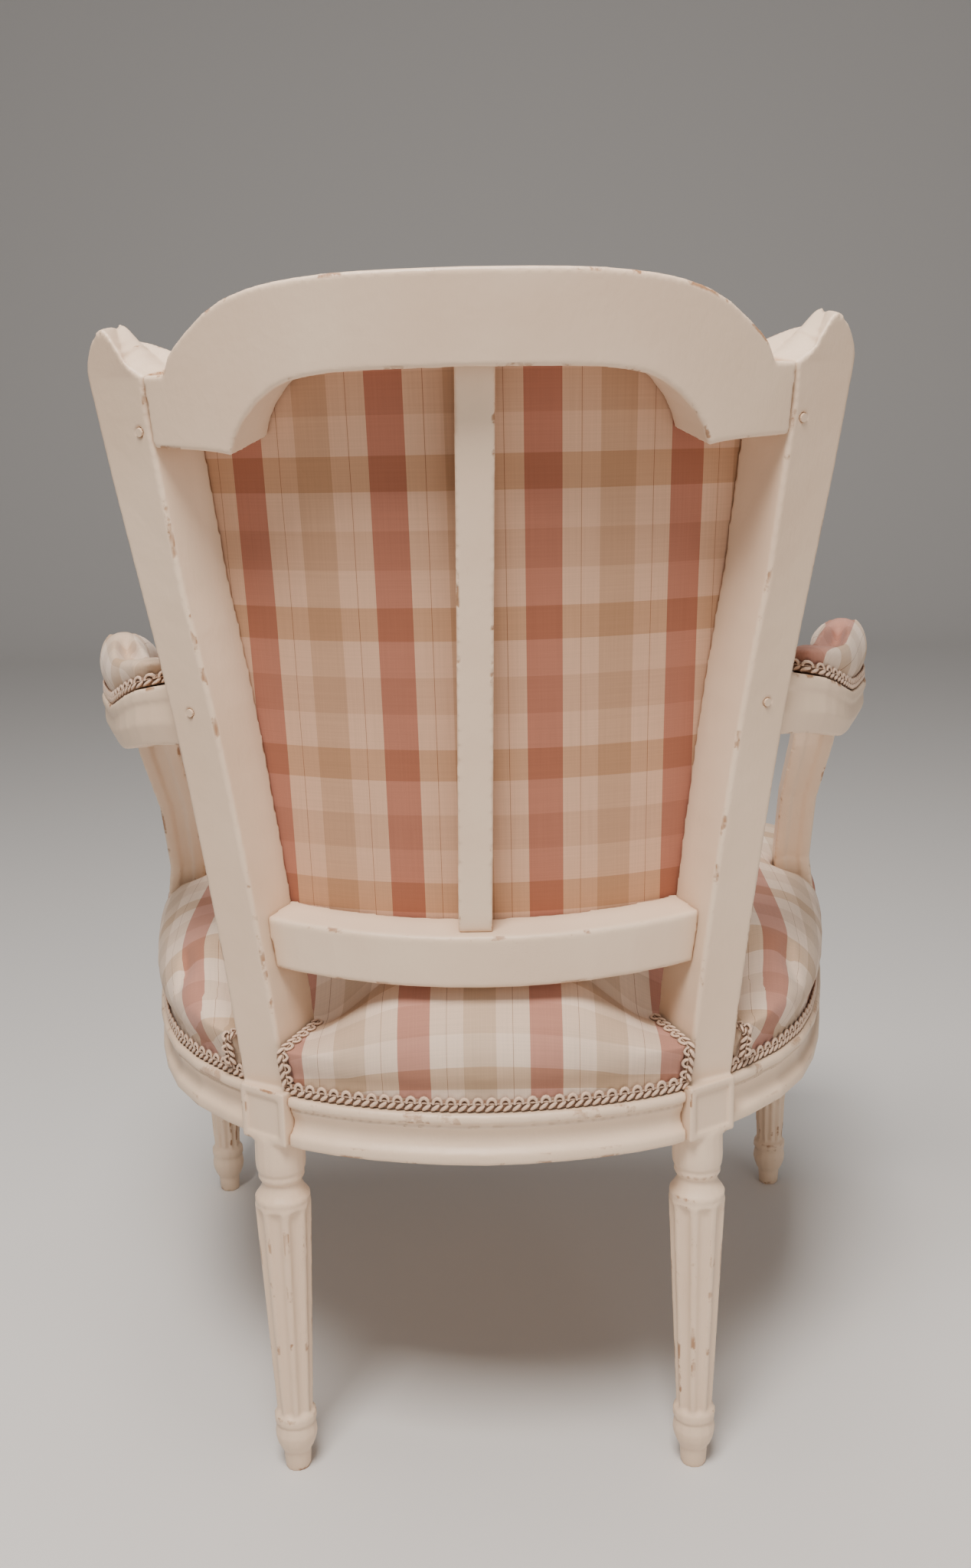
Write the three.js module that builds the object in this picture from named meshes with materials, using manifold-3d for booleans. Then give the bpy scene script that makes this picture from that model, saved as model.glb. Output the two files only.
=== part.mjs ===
// An upholstered open armchair with a curved cabriolet back: turned and fluted legs,
// a bowed and moulded seat frame, sprung-looking cushions, and gimp braid round each cover.
// Millimetres, +Z up. The sitter faces -Y, and the sitter's left hand is on +X.
import * as THREE from "three";
import Module from "manifold-3d";

const wasm = await Module();
wasm.setup();

// Fits between pieces.
const clearance = 0.3;
const clothGap = 1;
const overrun = 6;

// The seat frame.
const railBottom = 283;
const railHeight = 39;
const railDepth = 32;
const seatHalfWidth = 311;
const seatDepth = 535;
const seatRear = 223;
const frontBow = 23;

// The blocks in which the rails meet the legs.
const rearDieSize = 42;
const rearDieRise = 3;
const rearDieTurn = THREE.MathUtils.degToRad(33);
const rearDieShift = 4;
const rearLegShares = { across: 0.498, along: 0.105 };
const frontDieSize = 44;
const frontDieInset = 21;
const frontDieSetback = 40;

// The curved and raked back.
const backFootOffset = 46;
const backFootRise = 10;
const backRadius = 360;
const backHeight = 542;
const backThickness = 50;
const rebateDepth = 44;
const rebateWidth = 8;
const crestHeight = 54;
const lowerRailRise = 131;
const lowerRailHeight = 39;
const lowerRailDepth = 32;
const lowerRailInset = 12;
const lowerRailDip = 5.5;
const battenTopWidth = 26;
const battenBottomWidth = 25;
const battenDepth = 18;
const battenInset = 20;
const battenLean = 5;
const stileWidth = 34.5;
const stileFootOffset = 26;
const stileSplay = 64;

// Arms and their supports.
const armDepth = 43;
const armWidth = 38;
const armRise = 300;
const armFall = 32;
const armInset = 18;
const armLengthShare = 0.505;
const armPadHeight = 51;
const supportWidth = 36;
const supportDepth = 38;
const supportPlaceShare = 0.678;

// Upholstery.
const seatCrown = 106;
const seatBulge = 10;
const backCrown = 32;
const liningThickness = 1.5;
const braidHeight = 12;
const braidThickness = 2.4;
const riserLap = 6;
const riserWidth = 8;
const riserHeight = 36;
const riserTop = 72;
const strapWidth = 50;
const strapThickness = 1.3;
const pegRadius = 2.8;

// Leg turnings.
const shoulderRadius = 21;
const ankleRadius = 13.8;
const fluteDepth = 3.4;
const footHeight = 50;

const railTop = railBottom + railHeight;
const dieTop = railTop + rearDieRise;
const backFoot = railTop + backFootRise;
const backTop = backFoot + backHeight;
const lowerRailTop = railTop + lowerRailRise;
const armTopHeight = railTop + armRise;
const rearLegX = rearLegShares.across * seatHalfWidth;
const rearLegY = seatRear - rearLegShares.along * seatDepth;
const rearDieX = rearLegX - rearDieShift * Math.sin(rearDieTurn);
const rearDieY = rearLegY - rearDieShift * Math.cos(rearDieTurn);
const frontY = seatRear - seatDepth;
const frontDieX = seatHalfWidth - frontDieInset;
const frontDieY = frontY + frontDieSetback;
const backFootY = rearLegY + backFootOffset;
const stileFootX = rearLegX + stileFootOffset;
const armHalfWidth = seatHalfWidth - armInset;
const armLength = seatDepth * armLengthShare;

const paint = { color: 0xe6dcc6, roughness: 0.55, metalness: 0 };
const cloth = { color: 0xd8bfa4, roughness: 0.9, metalness: 0 };
const gimp = { color: 0xcdb58a, roughness: 0.8, metalness: 0 };
const jute = { color: 0xa58a5e, roughness: 0.95, metalness: 0 };
const beech = { color: 0xb98f63, roughness: 0.7, metalness: 0 };

const chair = new THREE.Group();

// Solids from rings of points.

function solidOf(points, faces) {
  let volume = 0;
  for (const [a, b, c] of faces) {
    const [ax, ay, az] = points[a];
    const [bx, by, bz] = points[b];
    const [cx, cy, cz] = points[c];
    volume += ax * (by * cz - bz * cy) + ay * (bz * cx - bx * cz) + az * (bx * cy - by * cx);
  }
  const outward = volume > 0 ? faces : faces.map(([a, b, c]) => [a, c, b]);
  const mesh = new wasm.Mesh({
    numProp: 3,
    vertProperties: new Float32Array(points.flat()),
    triVerts: new Uint32Array(outward.flat()),
  });
  return new wasm.Manifold(mesh);
}

function capFaces(ring) {
  const normal = new THREE.Vector3();
  const corners = ring.map((point) => new THREE.Vector3(...point));
  corners.forEach((corner, index) => {
    const after = corners[(index + 1) % corners.length];
    normal.x += (corner.y - after.y) * (corner.z + after.z);
    normal.y += (corner.z - after.z) * (corner.x + after.x);
    normal.z += (corner.x - after.x) * (corner.y + after.y);
  });
  normal.normalize();
  const side = Math.abs(normal.z) < 0.9 ? new THREE.Vector3(0, 0, 1) : new THREE.Vector3(1, 0, 0);
  const across = side.cross(normal).normalize();
  const along = normal.clone().cross(across);
  const flat = corners.map((corner) => new THREE.Vector2(corner.dot(across), corner.dot(along)));
  return THREE.ShapeUtils.triangulateShape(flat, []).map(([a, b, c]) => {
    const turn = flat[b].clone().sub(flat[a]).cross(flat[c].clone().sub(flat[a]));
    return turn > 0 ? [a, b, c] : [a, c, b];
  });
}

function loft(rings) {
  const size = rings[0].length;
  const last = (rings.length - 1) * size;
  const faces = [];
  for (let row = 0; row < last; row += size) {
    for (let column = 0; column < size; column += 1) {
      const next = (column + 1) % size;
      faces.push([row + column, row + next, row + size + next]);
      faces.push([row + column, row + size + next, row + size + column]);
    }
  }
  for (const [a, b, c] of capFaces(rings[0])) {
    faces.push([a, c, b]);
  }
  for (const [a, b, c] of capFaces(rings[rings.length - 1])) {
    faces.push([last + a, last + b, last + c]);
  }
  return solidOf(rings.flat(), faces);
}

// A closed loop of sections, such as a braid round a cover.
function hoop(sections) {
  const size = sections[0].length;
  const faces = [];
  sections.forEach((_, row) => {
    const after = (row + 1) % sections.length;
    for (let column = 0; column < size; column += 1) {
      const next = (column + 1) % size;
      faces.push([row * size + column, row * size + next, after * size + next]);
      faces.push([row * size + column, after * size + next, after * size + column]);
    }
  });
  return solidOf(sections.flat(), faces);
}

function mirrored(solid) {
  const mesh = solid.getMesh();
  const points = [];
  for (let at = 0; at < mesh.vertProperties.length; at += mesh.numProp) {
    const [x, y, z] = mesh.vertProperties.subarray(at);
    points.push([-x, y, z]);
  }
  const faces = [];
  for (let face = 0; face < mesh.numTri; face += 1) {
    const [a, b, c] = mesh.verts(face);
    faces.push([a, c, b]);
  }
  return solidOf(points, faces);
}

function addPiece(name, solid, look) {
  const mesh = solid.getMesh();
  const geometry = new THREE.BufferGeometry();
  geometry.setAttribute("position", new THREE.BufferAttribute(mesh.vertProperties, 3));
  geometry.setIndex(new THREE.BufferAttribute(mesh.triVerts, 1));
  geometry.computeVertexNormals();
  const piece = new THREE.Mesh(geometry, new THREE.MeshStandardMaterial(look));
  piece.name = name;
  chair.add(piece);
}

function addPair(name, solid, look) {
  addPiece(`${name}_left`, solid, look);
  addPiece(`${name}_right`, mirrored(solid), look);
}

function box(centre, half, turn) {
  const [cx, cy, cz] = centre;
  const [hx, hy, hz] = half;
  const cos = Math.cos(turn);
  const sin = Math.sin(turn);
  const corners = [[-hx, -hy], [hx, -hy], [hx, hy], [-hx, hy]];
  return loft([-hz, hz].map((rise) => corners.map(([x, y]) => (
    [cx + x * cos + y * sin, cy - x * sin + y * cos, cz + rise]
  ))));
}

// A straight bar of rectangular section from one point to another, such as a tenon.
function bar(from, to, width, height) {
  const start = new THREE.Vector3(...from);
  const reach = new THREE.Vector3(...to).sub(start);
  const side = new THREE.Vector3(reach.y, -reach.x, 0).normalize().multiplyScalar(width / 2);
  const lift = side.clone().cross(reach).normalize().multiplyScalar(height / 2);
  const corners = [[-1, -1], [1, -1], [1, 1], [-1, 1]];
  return loft([0, 1].map((share) => corners.map(([across, up]) => (
    start.clone().addScaledVector(reach, share)
      .addScaledVector(side, across).addScaledVector(lift, up).toArray()
  ))));
}

function pin(from, to, radius, sides) {
  const start = new THREE.Vector3(...from);
  const reach = new THREE.Vector3(...to).sub(start);
  const side = new THREE.Vector3(reach.y, -reach.x, 0).normalize().multiplyScalar(radius);
  const lift = side.clone().cross(reach).normalize().multiplyScalar(radius);
  return loft([0, 1].map((share) => Array.from({ length: sides }, (_, step) => {
    const angle = step * 2 * Math.PI / sides;
    return start.clone().addScaledVector(reach, share)
      .addScaledVector(side, Math.cos(angle)).addScaledVector(lift, Math.sin(angle)).toArray();
  })));
}

// Reads a value between the rows of a two-column table.
function tableAt(rows, key) {
  const after = rows.findIndex(([place]) => place >= key);
  if (after === 0) {
    return rows[0][1];
  }
  if (after < 0) {
    return rows[rows.length - 1][1];
  }
  const [lowKey, low] = rows[after - 1];
  const [highKey, high] = rows[after];
  return low + (high - low) * (key - lowKey) / (highKey - lowKey);
}

// The seat's plan.

// Half the outer face line of the seat frame, from the middle of the rear to the front
// corner, as shares of the half width and of the depth.
const planShares = [
  [0, 0], [0.241, 0.016], [0.408, 0.045], [0.482, 0.067], [0.585, 0.114], [0.707, 0.179],
  [0.807, 0.264], [0.875, 0.37], [0.92, 0.479], [0.955, 0.585], [0.981, 0.693], [0.997, 0.8], [1, 0.925],
];
const planPoints = planShares.map(([across, along]) => (
  new THREE.Vector3(across * seatHalfWidth, seatRear - along * seatDepth, 0)
));
const planCurve = new THREE.CatmullRomCurve3([
  ...planPoints.slice(1).reverse().map((point) => new THREE.Vector3(-point.x, point.y, 0)),
  ...planPoints,
], false, "centripetal");

// A sample of the plan between two values of the half-curve, 0 at the rear's middle, 1 at the front.
function planAt(share) {
  const place = THREE.MathUtils.clamp(0.5 + share / 2, 0, 1);
  const point = planCurve.getPointAt(place);
  const tangent = planCurve.getTangentAt(place);
  return { point, inward: new THREE.Vector3(tangent.y, -tangent.x, 0).normalize() };
}

function frontAt(share) {
  const bow = frontBow * share * share;
  const slope = 2 * frontBow * share / frontDieX;
  return {
    point: new THREE.Vector3(share * frontDieX, frontY + bow, 0),
    inward: new THREE.Vector3(-slope, 1, 0).normalize(),
  };
}

// The moulded section of a rail: how far in, and how high, as shares of its depth and height.
const railSectionShares = [
  [0.05, 0], [0, 0.04], [0, 0.2], [0.05, 0.26], [0.13, 0.3], [0.19, 0.4], [0.2, 0.52],
  [0.15, 0.64], [0.08, 0.72], [0.14, 0.745], [0.14, 0.785], [0.02, 0.81], [0, 0.86],
  [0, 0.93], [0.05, 0.985], [0.1, 1], [1, 1], [1, 0],
];

function railSweep(places, section) {
  return loft(places.map(({ point, inward }) => section.map(([deep, high]) => [
    point.x + inward.x * deep * railDepth,
    point.y + inward.y * deep * railDepth,
    railBottom + high * railHeight,
  ])));
}

// The plain block that keeps other pieces clear of a rail.
function railKeepOut(places, gap) {
  const [deepest, highest] = [railDepth + gap, railHeight + gap];
  const section = [[-gap, -gap], [deepest, -gap], [deepest, highest], [-gap, highest]];
  return loft(places.map(({ point, inward }) => section.map(([deep, high]) => (
    [point.x + inward.x * deep, point.y + inward.y * deep, railBottom + high]
  ))));
}

const closeShare = 1e-5;

// The share of the half plan at which it first passes a test.
function shareWhere(passed) {
  let low = 0;
  let high = 1;
  while (high - low > closeShare) {
    const middle = (low + high) / 2;
    if (passed(planAt(middle).point)) {
      high = middle;
    } else {
      low = middle;
    }
  }
  return high;
}

// How far a place lies along the rear die's outer face from its middle.
function alongRearDie(point) {
  return (point.x - rearDieX) * Math.cos(rearDieTurn) - (point.y - rearDieY) * Math.sin(rearDieTurn);
}

const tenonRoom = 5;
const tenonRoot = 14;
const tenonWidth = 10;
const tenonHeight = 24;
const rearRailShare = shareWhere((point) => alongRearDie(point) > -tenonRoom);
const sideStartShare = shareWhere((point) => alongRearDie(point) > tenonRoom);
const sideEndShare = shareWhere((point) => point.y < frontDieY + tenonRoom);
const frontRailShare = 1 - tenonRoom / frontDieX;
const tenonShares = {
  rear: shareWhere((point) => alongRearDie(point) > -rearDieSize / 2 - tenonRoot),
  sideRear: shareWhere((point) => alongRearDie(point) > rearDieSize / 2 + tenonRoot),
  sideFront: shareWhere((point) => point.y < frontDieY + frontDieSize / 2 + tenonRoot),
  front: 1 - (frontDieSize / 2 + tenonRoot) / frontDieX,
};

function spread(from, to, steps, sample) {
  return Array.from({ length: steps + 1 }, (_, step) => sample(from + (to - from) * step / steps));
}

const rearRailPlaces = spread(-rearRailShare, rearRailShare, 12, planAt);
const sideRailPlaces = spread(sideStartShare, sideEndShare, 12, planAt);
const frontRailPlaces = spread(-frontRailShare, frontRailShare, 10, frontAt);

// The dies.

const dieMid = (railBottom + dieTop) / 2;
const rearDieHalf = [rearDieSize / 2, rearDieSize / 2, (dieTop - railBottom) / 2];
const frontDieHalf = [frontDieSize / 2, frontDieSize / 2, railHeight / 2];
const rearDieCentre = [rearDieX, rearDieY, dieMid];
const frontDieCentre = [frontDieX, frontDieY, railBottom + railHeight / 2];

function grown(half, gap) {
  return half.map((value) => value + gap);
}

// Tenons of the seat rails.

const tenonLength = 13;

// A tenon from inside a rail, at the first place, to the end of its die's mortise, at the second.
function railTenon(inside, end, gap) {
  const [from, to] = [inside, end].map(({ point, inward }) => (
    point.clone().addScaledVector(inward, railDepth / 2).setZ(railBottom + railHeight / 2)
  ));
  const reach = to.clone().sub(from).setLength(gap);
  to.add(reach);
  return bar(from.toArray(), to.toArray(), tenonWidth + 2 * gap, tenonHeight + 2 * gap);
}

// Turned and fluted legs.

// A stack of turned rings, each [radius, height].
function turned(rows, sides, centre) {
  return loft(rows.map(([radius, height]) => Array.from({ length: sides }, (_, step) => {
    const angle = step * 2 * Math.PI / sides;
    return [centre[0] + radius * Math.cos(angle), centre[1] + radius * Math.sin(angle), height];
  })));
}

const footShares = [
  [0.72, 0], [0.8, 0.34], [0.92, 0.36], [1.12, 0.5], [1.2, 0.63], [1.12, 0.77], [1.02, 0.81],
  [1.19, 0.84], [1.19, 0.97], [0.9, 1.02],
];
const neckShares = [
  [0.9, -0.05], [1, -0.01], [0.99, 0.03], [0.84, 0.11], [0.73, 0.19], [0.69, 0.27],
  [0.79, 0.31], [0.84, 0.37], [0.79, 0.43], [0.87, 0.47], [0.9, 0.6], [0.88, 1.04],
];
const neckHeight = 50;
const footSides = 14;
const neckSides = 18;
const shoulderZ = railBottom - neckHeight;
const rearFlutes = 8;
const frontFlutes = 12;
const fluteStop = 5;
const fluteTopZ = shoulderZ - fluteStop;
const shaftTopShare = 0.93;

// One flute across: [share of its pitch, share of its depth].
const wideFluteShares = [[0.13, 0], [0.34, 1], [0.66, 1], [0.87, 0]];
const slimFluteShares = [[0.16, 0], [0.36, 1], [0.64, 1], [0.84, 0]];
// Up the shaft: [share of the flute's length, depth at its middle, depth at its flanks].
const fluteRunShares = [[0, 1, 1], [0.96, 1, 1], [0.985, 0.7, 0.5], [1, 0, 0]];

function flutedShaft(centre, flutes, fluteShares, turn) {
  const length = fluteTopZ - footHeight;
  const rows = fluteRunShares.map(([run, middle, flank]) => (
    { height: footHeight + run * length, middle, flank }
  ));
  const shaftTop = shoulderZ + neckHeight * neckShares[1][1];
  rows.push({ height: shaftTop, middle: 0, flank: 0, thin: shaftTopShare });
  return loft(rows.map(({ height, middle, flank, thin = 1 }) => {
    const rise = Math.min(1, (height - footHeight) / length);
    const radius = (ankleRadius + (shoulderRadius - ankleRadius) * rise) * thin;
    const ring = [];
    for (let flute = 0; flute < flutes; flute += 1) {
      for (const [share, deep] of fluteShares) {
        const angle = turn + (flute + share) * 2 * Math.PI / flutes;
        const cut = fluteDepth * (radius / shoulderRadius) * deep * (deep === 1 ? middle : flank);
        ring.push([
          centre[0] + (radius - cut) * Math.cos(angle),
          centre[1] + (radius - cut) * Math.sin(angle),
          height,
        ]);
      }
    }
    return ring;
  }));
}

function turnedLeg(centre, flutes, fluteShares, turn) {
  const foot = turned(footShares.map(([wide, high]) => (
    [wide * ankleRadius, high * footHeight]
  )), footSides, centre);
  const neck = turned(neckShares.map(([wide, high]) => (
    [wide * shoulderRadius, shoulderZ + high * neckHeight]
  )), neckSides, centre);
  return flutedShaft(centre, flutes, fluteShares, turn).add(foot).add(neck);
}

// The curved back.

const rakeShare = 0.067;
const curlShare = 0.098;
// How much less an ear leans than the back below it.
const earLiftShare = 0.4;

// A place on the back: across it, forward from its rear face, and up. Depth runs toward the
// back's own middle, and as far as the turn says, straight forward.
function onBack(x, deep, z, turn = 0) {
  const rise = z - backFoot;
  const rake = Math.atan(rakeShare + 2 * curlShare * rise / backHeight);
  const sin = x / backRadius;
  const cos = Math.sqrt(1 - sin * sin);
  const rear = backFootY + rise * (rakeShare + curlShare * rise / backHeight) - backRadius * (1 - cos);
  const level = deep * Math.cos(rake);
  const inward = level * sin * (1 - turn);
  const forward = level * (cos + (1 - cos) * turn);
  return [x - inward, rear - forward, z + deep * Math.sin(rake) * (1 - earLiftShare * turn)];
}

const stileArrisShare = 0.05;
// The stile's outer edge: [height share of the back, share of its splay].
const stileOuterShares = [
  [-0.0179, -0.016], [0, 0], [0.1, 0.078], [0.2, 0.169], [0.3, 0.266], [0.4, 0.367], [0.5, 0.477],
  [0.6, 0.609], [0.7, 0.75], [0.78, 0.859], [0.84, 0.93], [0.88, 0.973], [0.9, 0.997],
  [0.914, 1], [0.925, 0.972], [0.935, 0.93], [0.946, 0.872], [0.953, 0.795], [0.9555, 0.735],
];
// Its inner edge below the crest's joint: [height share, width beyond the usual as a share of it].
const stileGrowthShares = [[0, 0], [0.65, 0], [0.8, 0.14], [0.86, 0.17]];
// The ear's inner edge: [height share, share of the way from the joint to the ear's peak].
const earInnerShares = [
  [0.86, 0], [0.904, 0], [0.91, 0.2], [0.917, 0.36], [0.926, 0.52], [0.937, 0.64], [0.949, 0.83],
  [0.9555, 1],
];
// How far an ear's depth turns straight forward.
const earTurnShares = [[0.9, 0], [0.917, 0.4], [0.937, 0.85], [0.95, 1]];
const crestJointShare = 0.86;
const earPeakGap = 1;

function stileOuter(share) {
  return stileFootX + stileSplay * tableAt(stileOuterShares, share);
}

function stileInner(share) {
  const joined = Math.min(share, crestJointShare);
  const straight = stileOuter(joined) - stileWidth * (1 + tableAt(stileGrowthShares, joined));
  const peak = stileOuter(stileTopShare) - earPeakGap;
  return straight + (peak - straight) * tableAt(earInnerShares, share);
}

const stileTopShare = stileOuterShares[stileOuterShares.length - 1][0];
const stileStations = [...new Set([
  ...stileOuterShares, ...earInnerShares, [0.05], [0.15], [0.25], [0.35], [0.45], [0.55], [0.65],
].map(([share]) => share))].sort((low, high) => low - high);

function stile(gap, topShare) {
  const shares = stileStations.filter((share) => share <= topShare);
  return loft(shares.map((share) => {
    const z = backFoot + share * backHeight;
    const turn = tableAt(earTurnShares, share);
    const outer = stileOuter(share) + gap;
    const inner = stileInner(share) - gap;
    const edge = Math.min(stileWidth, outer - inner) * stileArrisShare;
    const front = backThickness + gap;
    return [
      [inner, edge - gap], [inner + edge, -gap], [outer - edge, -gap], [outer, edge - gap],
      [outer, front - edge], [outer - edge, front], [inner, front],
    ].map(([x, deep]) => onBack(x, deep, z, turn));
  }));
}

// The room that a cover leaves round a stile, open to the rear.
function stileRoom(gap, topShare) {
  return loft(stileStations.filter((share) => share <= topShare).map((share) => {
    const z = backFoot + share * backHeight;
    const inner = stileInner(share) - gap;
    const outer = stileOuter(share) + gap;
    const front = backThickness + gap;
    return [[inner, -stileWidth], [outer, -stileWidth], [outer, front], [inner, front]]
      .map(([x, deep]) => onBack(x, deep, z));
  }));
}

// Openings and outlines of the back.

// Across the crest: [share of its half span, drop of its edge below the top as a share of its height].
const crestTopShares = [
  [0, 0], [0.2, 0.005], [0.3, 0.01], [0.4, 0.022], [0.48, 0.045], [0.54, 0.067], [0.6, 0.1],
  [0.655, 0.145], [0.715, 0.22], [0.776, 0.34], [0.84, 0.52], [0.88, 0.65], [0.905, 0.745],
  [0.93, 0.95], [1, 0.95],
];
const crestUnderShares = [
  [0, 1], [0.2, 1.008], [0.345, 1.016], [0.4, 1.024], [0.44, 1.037], [0.485, 1.062], [0.535, 1.1],
  [0.583, 1.176], [0.633, 1.305], [0.686, 1.503], [0.715, 1.67], [0.735, 1.87], [0.75, 1.86],
  [0.8, 1.82], [1, 1.77],
];
const crestStationShares = [
  0, 0.1, 0.2, 0.3, 0.4, 0.48, 0.535, 0.583, 0.633, 0.686, 0.715, 0.735, 0.75, 0.776,
  0.84, 0.88, 0.905, 0.93, 0.965, 1,
];
const crestSpan = stileInner(crestJointShare);
// Round the crest: [at its top edge or at its underside, share of its thickness, share of its height].
// Its top is nearly level while its faces lean back.
const crestSectionShares = [
  [0, 0.04, 0], [0, 0, 0.03], [1, 0, 0.03], [1, 0.04, 0], [1, 0.7, 0.14], [1, 0.76, 0.2],
  [1, 0.9, 0.22], [1, 1, 0.3], [0, 1, 0.04],
];

function crestTopAt(share) {
  return backTop - crestHeight * tableAt(crestTopShares, share);
}

function crestUnderAt(share) {
  return backTop - crestHeight * tableAt(crestUnderShares, share);
}

const signedCrestShares = [
  ...crestStationShares.slice(1).reverse().map((share) => -share),
  ...crestStationShares,
];
const crestFootSpan = stileInner((crestUnderAt(1) - backFoot) / backHeight);

function crestRing(share, gap) {
  const wide = Math.abs(share);
  const topX = share * (crestSpan + gap);
  const underX = share * (crestFootSpan + gap);
  const top = crestTopAt(wide) + gap;
  const under = crestUnderAt(wide) - gap;
  const front = backThickness + gap;
  return crestSectionShares.map(([edge, deep, drop]) => onBack(
    edge ? topX : underX,
    deep * front - (deep === 0 ? gap : 0),
    edge ? top - drop * crestHeight : under + drop * crestHeight,
  ));
}

function crestSolid(gap) {
  return loft(signedCrestShares.map((share) => crestRing(share, gap)));
}

function lowerRailTopAt(x) {
  const span = stileInner((lowerRailTop - backFoot) / backHeight);
  return lowerRailTop - lowerRailDip * (1 - (x / span) ** 2);
}

const lowerRailArrisShare = 0.06;

function lowerRailSolid() {
  const topSpan = stileInner((lowerRailTop - backFoot) / backHeight) + overrun;
  const underSpan = stileInner((lowerRailTop - lowerRailHeight - backFoot) / backHeight) + overrun;
  const deepest = lowerRailInset + lowerRailDepth;
  const edge = lowerRailDepth * lowerRailArrisShare;
  return loft(spread(-1, 1, 12, (share) => {
    const topX = share * topSpan;
    const underX = share * underSpan;
    const top = lowerRailTopAt(topX);
    const under = top - lowerRailHeight;
    return [
      [underX, lowerRailInset + edge, under], [underX, lowerRailInset, under + edge],
      [topX, lowerRailInset, top - edge], [topX, lowerRailInset + edge, top],
      [topX, deepest, top], [underX, deepest, under],
    ].map(([x, deep, z]) => onBack(x, deep, z));
  }));
}

// Along the lower edge of the inside back from its middle, as shares of its half width.
const outlineFootShares = [0, 0.25, 0.5, 0.75];
// Up its side, as shares of the height between the lower rail and the crest.
const outlineSideShares = [0, 0.17, 0.34, 0.5, 0.67, 0.84];
// Back along its top, as shares of the crest's half span: [share, how steep the edge is there].
const outlineTopShares = [
  [0.86, 0], [0.75, 0], [0.71, 0.7], [0.66, 0.7], [0.61, 0.7], [0.55, 0], [0.45, 0], [0.3, 0], [0.15, 0],
];
const steepShare = 0.4;

// The outline of the inside back, at the rebate, as places across and up.
function backOutline(grow) {
  const low = lowerRailTop - lowerRailDip;
  const places = [];
  for (const share of outlineFootShares) {
    const x = share * stileInner((low - backFoot) / backHeight);
    places.push([x, lowerRailTopAt(x) - grow]);
  }
  const cornerShare = (crestUnderAt(1) - backFoot) / backHeight;
  const footShare = (low - backFoot) / backHeight;
  for (const share of outlineSideShares) {
    const up = footShare + (cornerShare - footShare) * share;
    places.push([stileInner(up) + grow, backFoot + up * backHeight - (share === 0 ? grow : 0)]);
  }
  places.push([stileInner(cornerShare) + grow, crestUnderAt(1) + grow]);
  for (const [share, steep] of outlineTopShares) {
    places.push([
      share * crestFootSpan + grow * steep,
      crestUnderAt(share) + grow * (1 - steep * steepShare),
    ]);
  }
  const half = places.slice(1);
  return [
    ...places,
    [0, crestUnderAt(0) + grow],
    ...half.reverse().map(([x, z]) => [-x, z]),
  ];
}

const backMiddle = [0, (lowerRailTop + backTop) / 2 - crestHeight / 2];

// A solid on the back, from rows of [share out from the middle, how far forward].
function backShell(outline, rows) {
  return loft(rows.map(([share, deep]) => outline.map(([x, z]) => (
    onBack(backMiddle[0] + x * share, deep, backMiddle[1] + (z - backMiddle[1]) * share)
  ))));
}

const sheetShares = [0.02, 0.35, 0.7, 1];

// A sheet on the back between two depths.
function backSheet(outline, from, to) {
  return backShell(outline, [
    ...sheetShares.map((share) => [share, from]),
    ...sheetShares.slice().reverse().map((share) => [share, to]),
  ]);
}

const backRebate = backSheet(backOutline(rebateWidth), rebateDepth, backThickness + overrun);

// Arms.

const armRootShare = (armTopHeight - armDepth / 2 - backFoot) / backHeight;
const armRootMiddle = (stileOuter(armRootShare) + stileInner(armRootShare)) / 2;
const armRoot = onBack(armRootMiddle, backThickness / 2, armTopHeight - armDepth / 2);
// Along the arm: [share of the way out, reach share, fall share, width share, depth share].
const armShares = [
  [0, 0, 0, 0.72, 1.06], [0.27, 0.07, 0.1, 0.74, 1.04], [0.48, 0.14, 0.3, 0.8, 0.98],
  [0.63, 0.23, 0.66, 0.84, 0.88], [0.72, 0.32, 0.9, 0.88, 0.8], [0.84, 0.47, 0.98, 0.96, 0.78],
  [0.935, 0.6, 1, 1.02, 0.78], [0.98, 0.73, 1, 1.06, 0.84], [1, 0.84, 1, 1.06, 0.92],
  [0.98, 0.93, 1.01, 0.9, 0.96], [0.93, 1, 1.03, 0.6, 0.8],
];
const armSpine = new THREE.CatmullRomCurve3(armShares.map(([out, reach, fall]) => new THREE.Vector3(
  armRoot[0] + out * (armHalfWidth - armRoot[0]),
  armRoot[1] - reach * armLength,
  armTopHeight - fall * armFall,
)), false, "centripetal");

function armStation(share) {
  const place = share * (armShares.length - 1);
  const low = Math.min(Math.floor(place), armShares.length - 2);
  const blend = place - low;
  const read = (column) => armShares[low][column] * (1 - blend) + armShares[low + 1][column] * blend;
  const top = armSpine.getPoint(share);
  const tangent = armSpine.getTangent(share).setZ(0).normalize();
  return {
    top,
    side: new THREE.Vector3(-tangent.y, tangent.x, 0),
    half: read(3) * armWidth / 2,
    depth: read(4) * armDepth,
  };
}

// Across the arm: [share of the half width, share of the depth below its top].
const armSectionShares = [
  [-0.94, 0], [-1, 0.06], [-1, 0.2], [-0.9, 0.26], [-0.94, 0.6], [-0.6, 0.97],
  [0.6, 0.97], [0.94, 0.6], [0.9, 0.26], [1, 0.2], [1, 0.06], [0.94, 0],
];

function armSolid(gap) {
  return loft(spread(0, 1, armSteps, armStation).map(({ top, side, half, depth }) => (
    armSectionShares.map(([across, down]) => [
      top.x + side.x * across * (half + gap),
      top.y + side.y * across * (half + gap),
      top.z + gap - down * (depth + 2 * gap),
    ])
  )));
}

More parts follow.
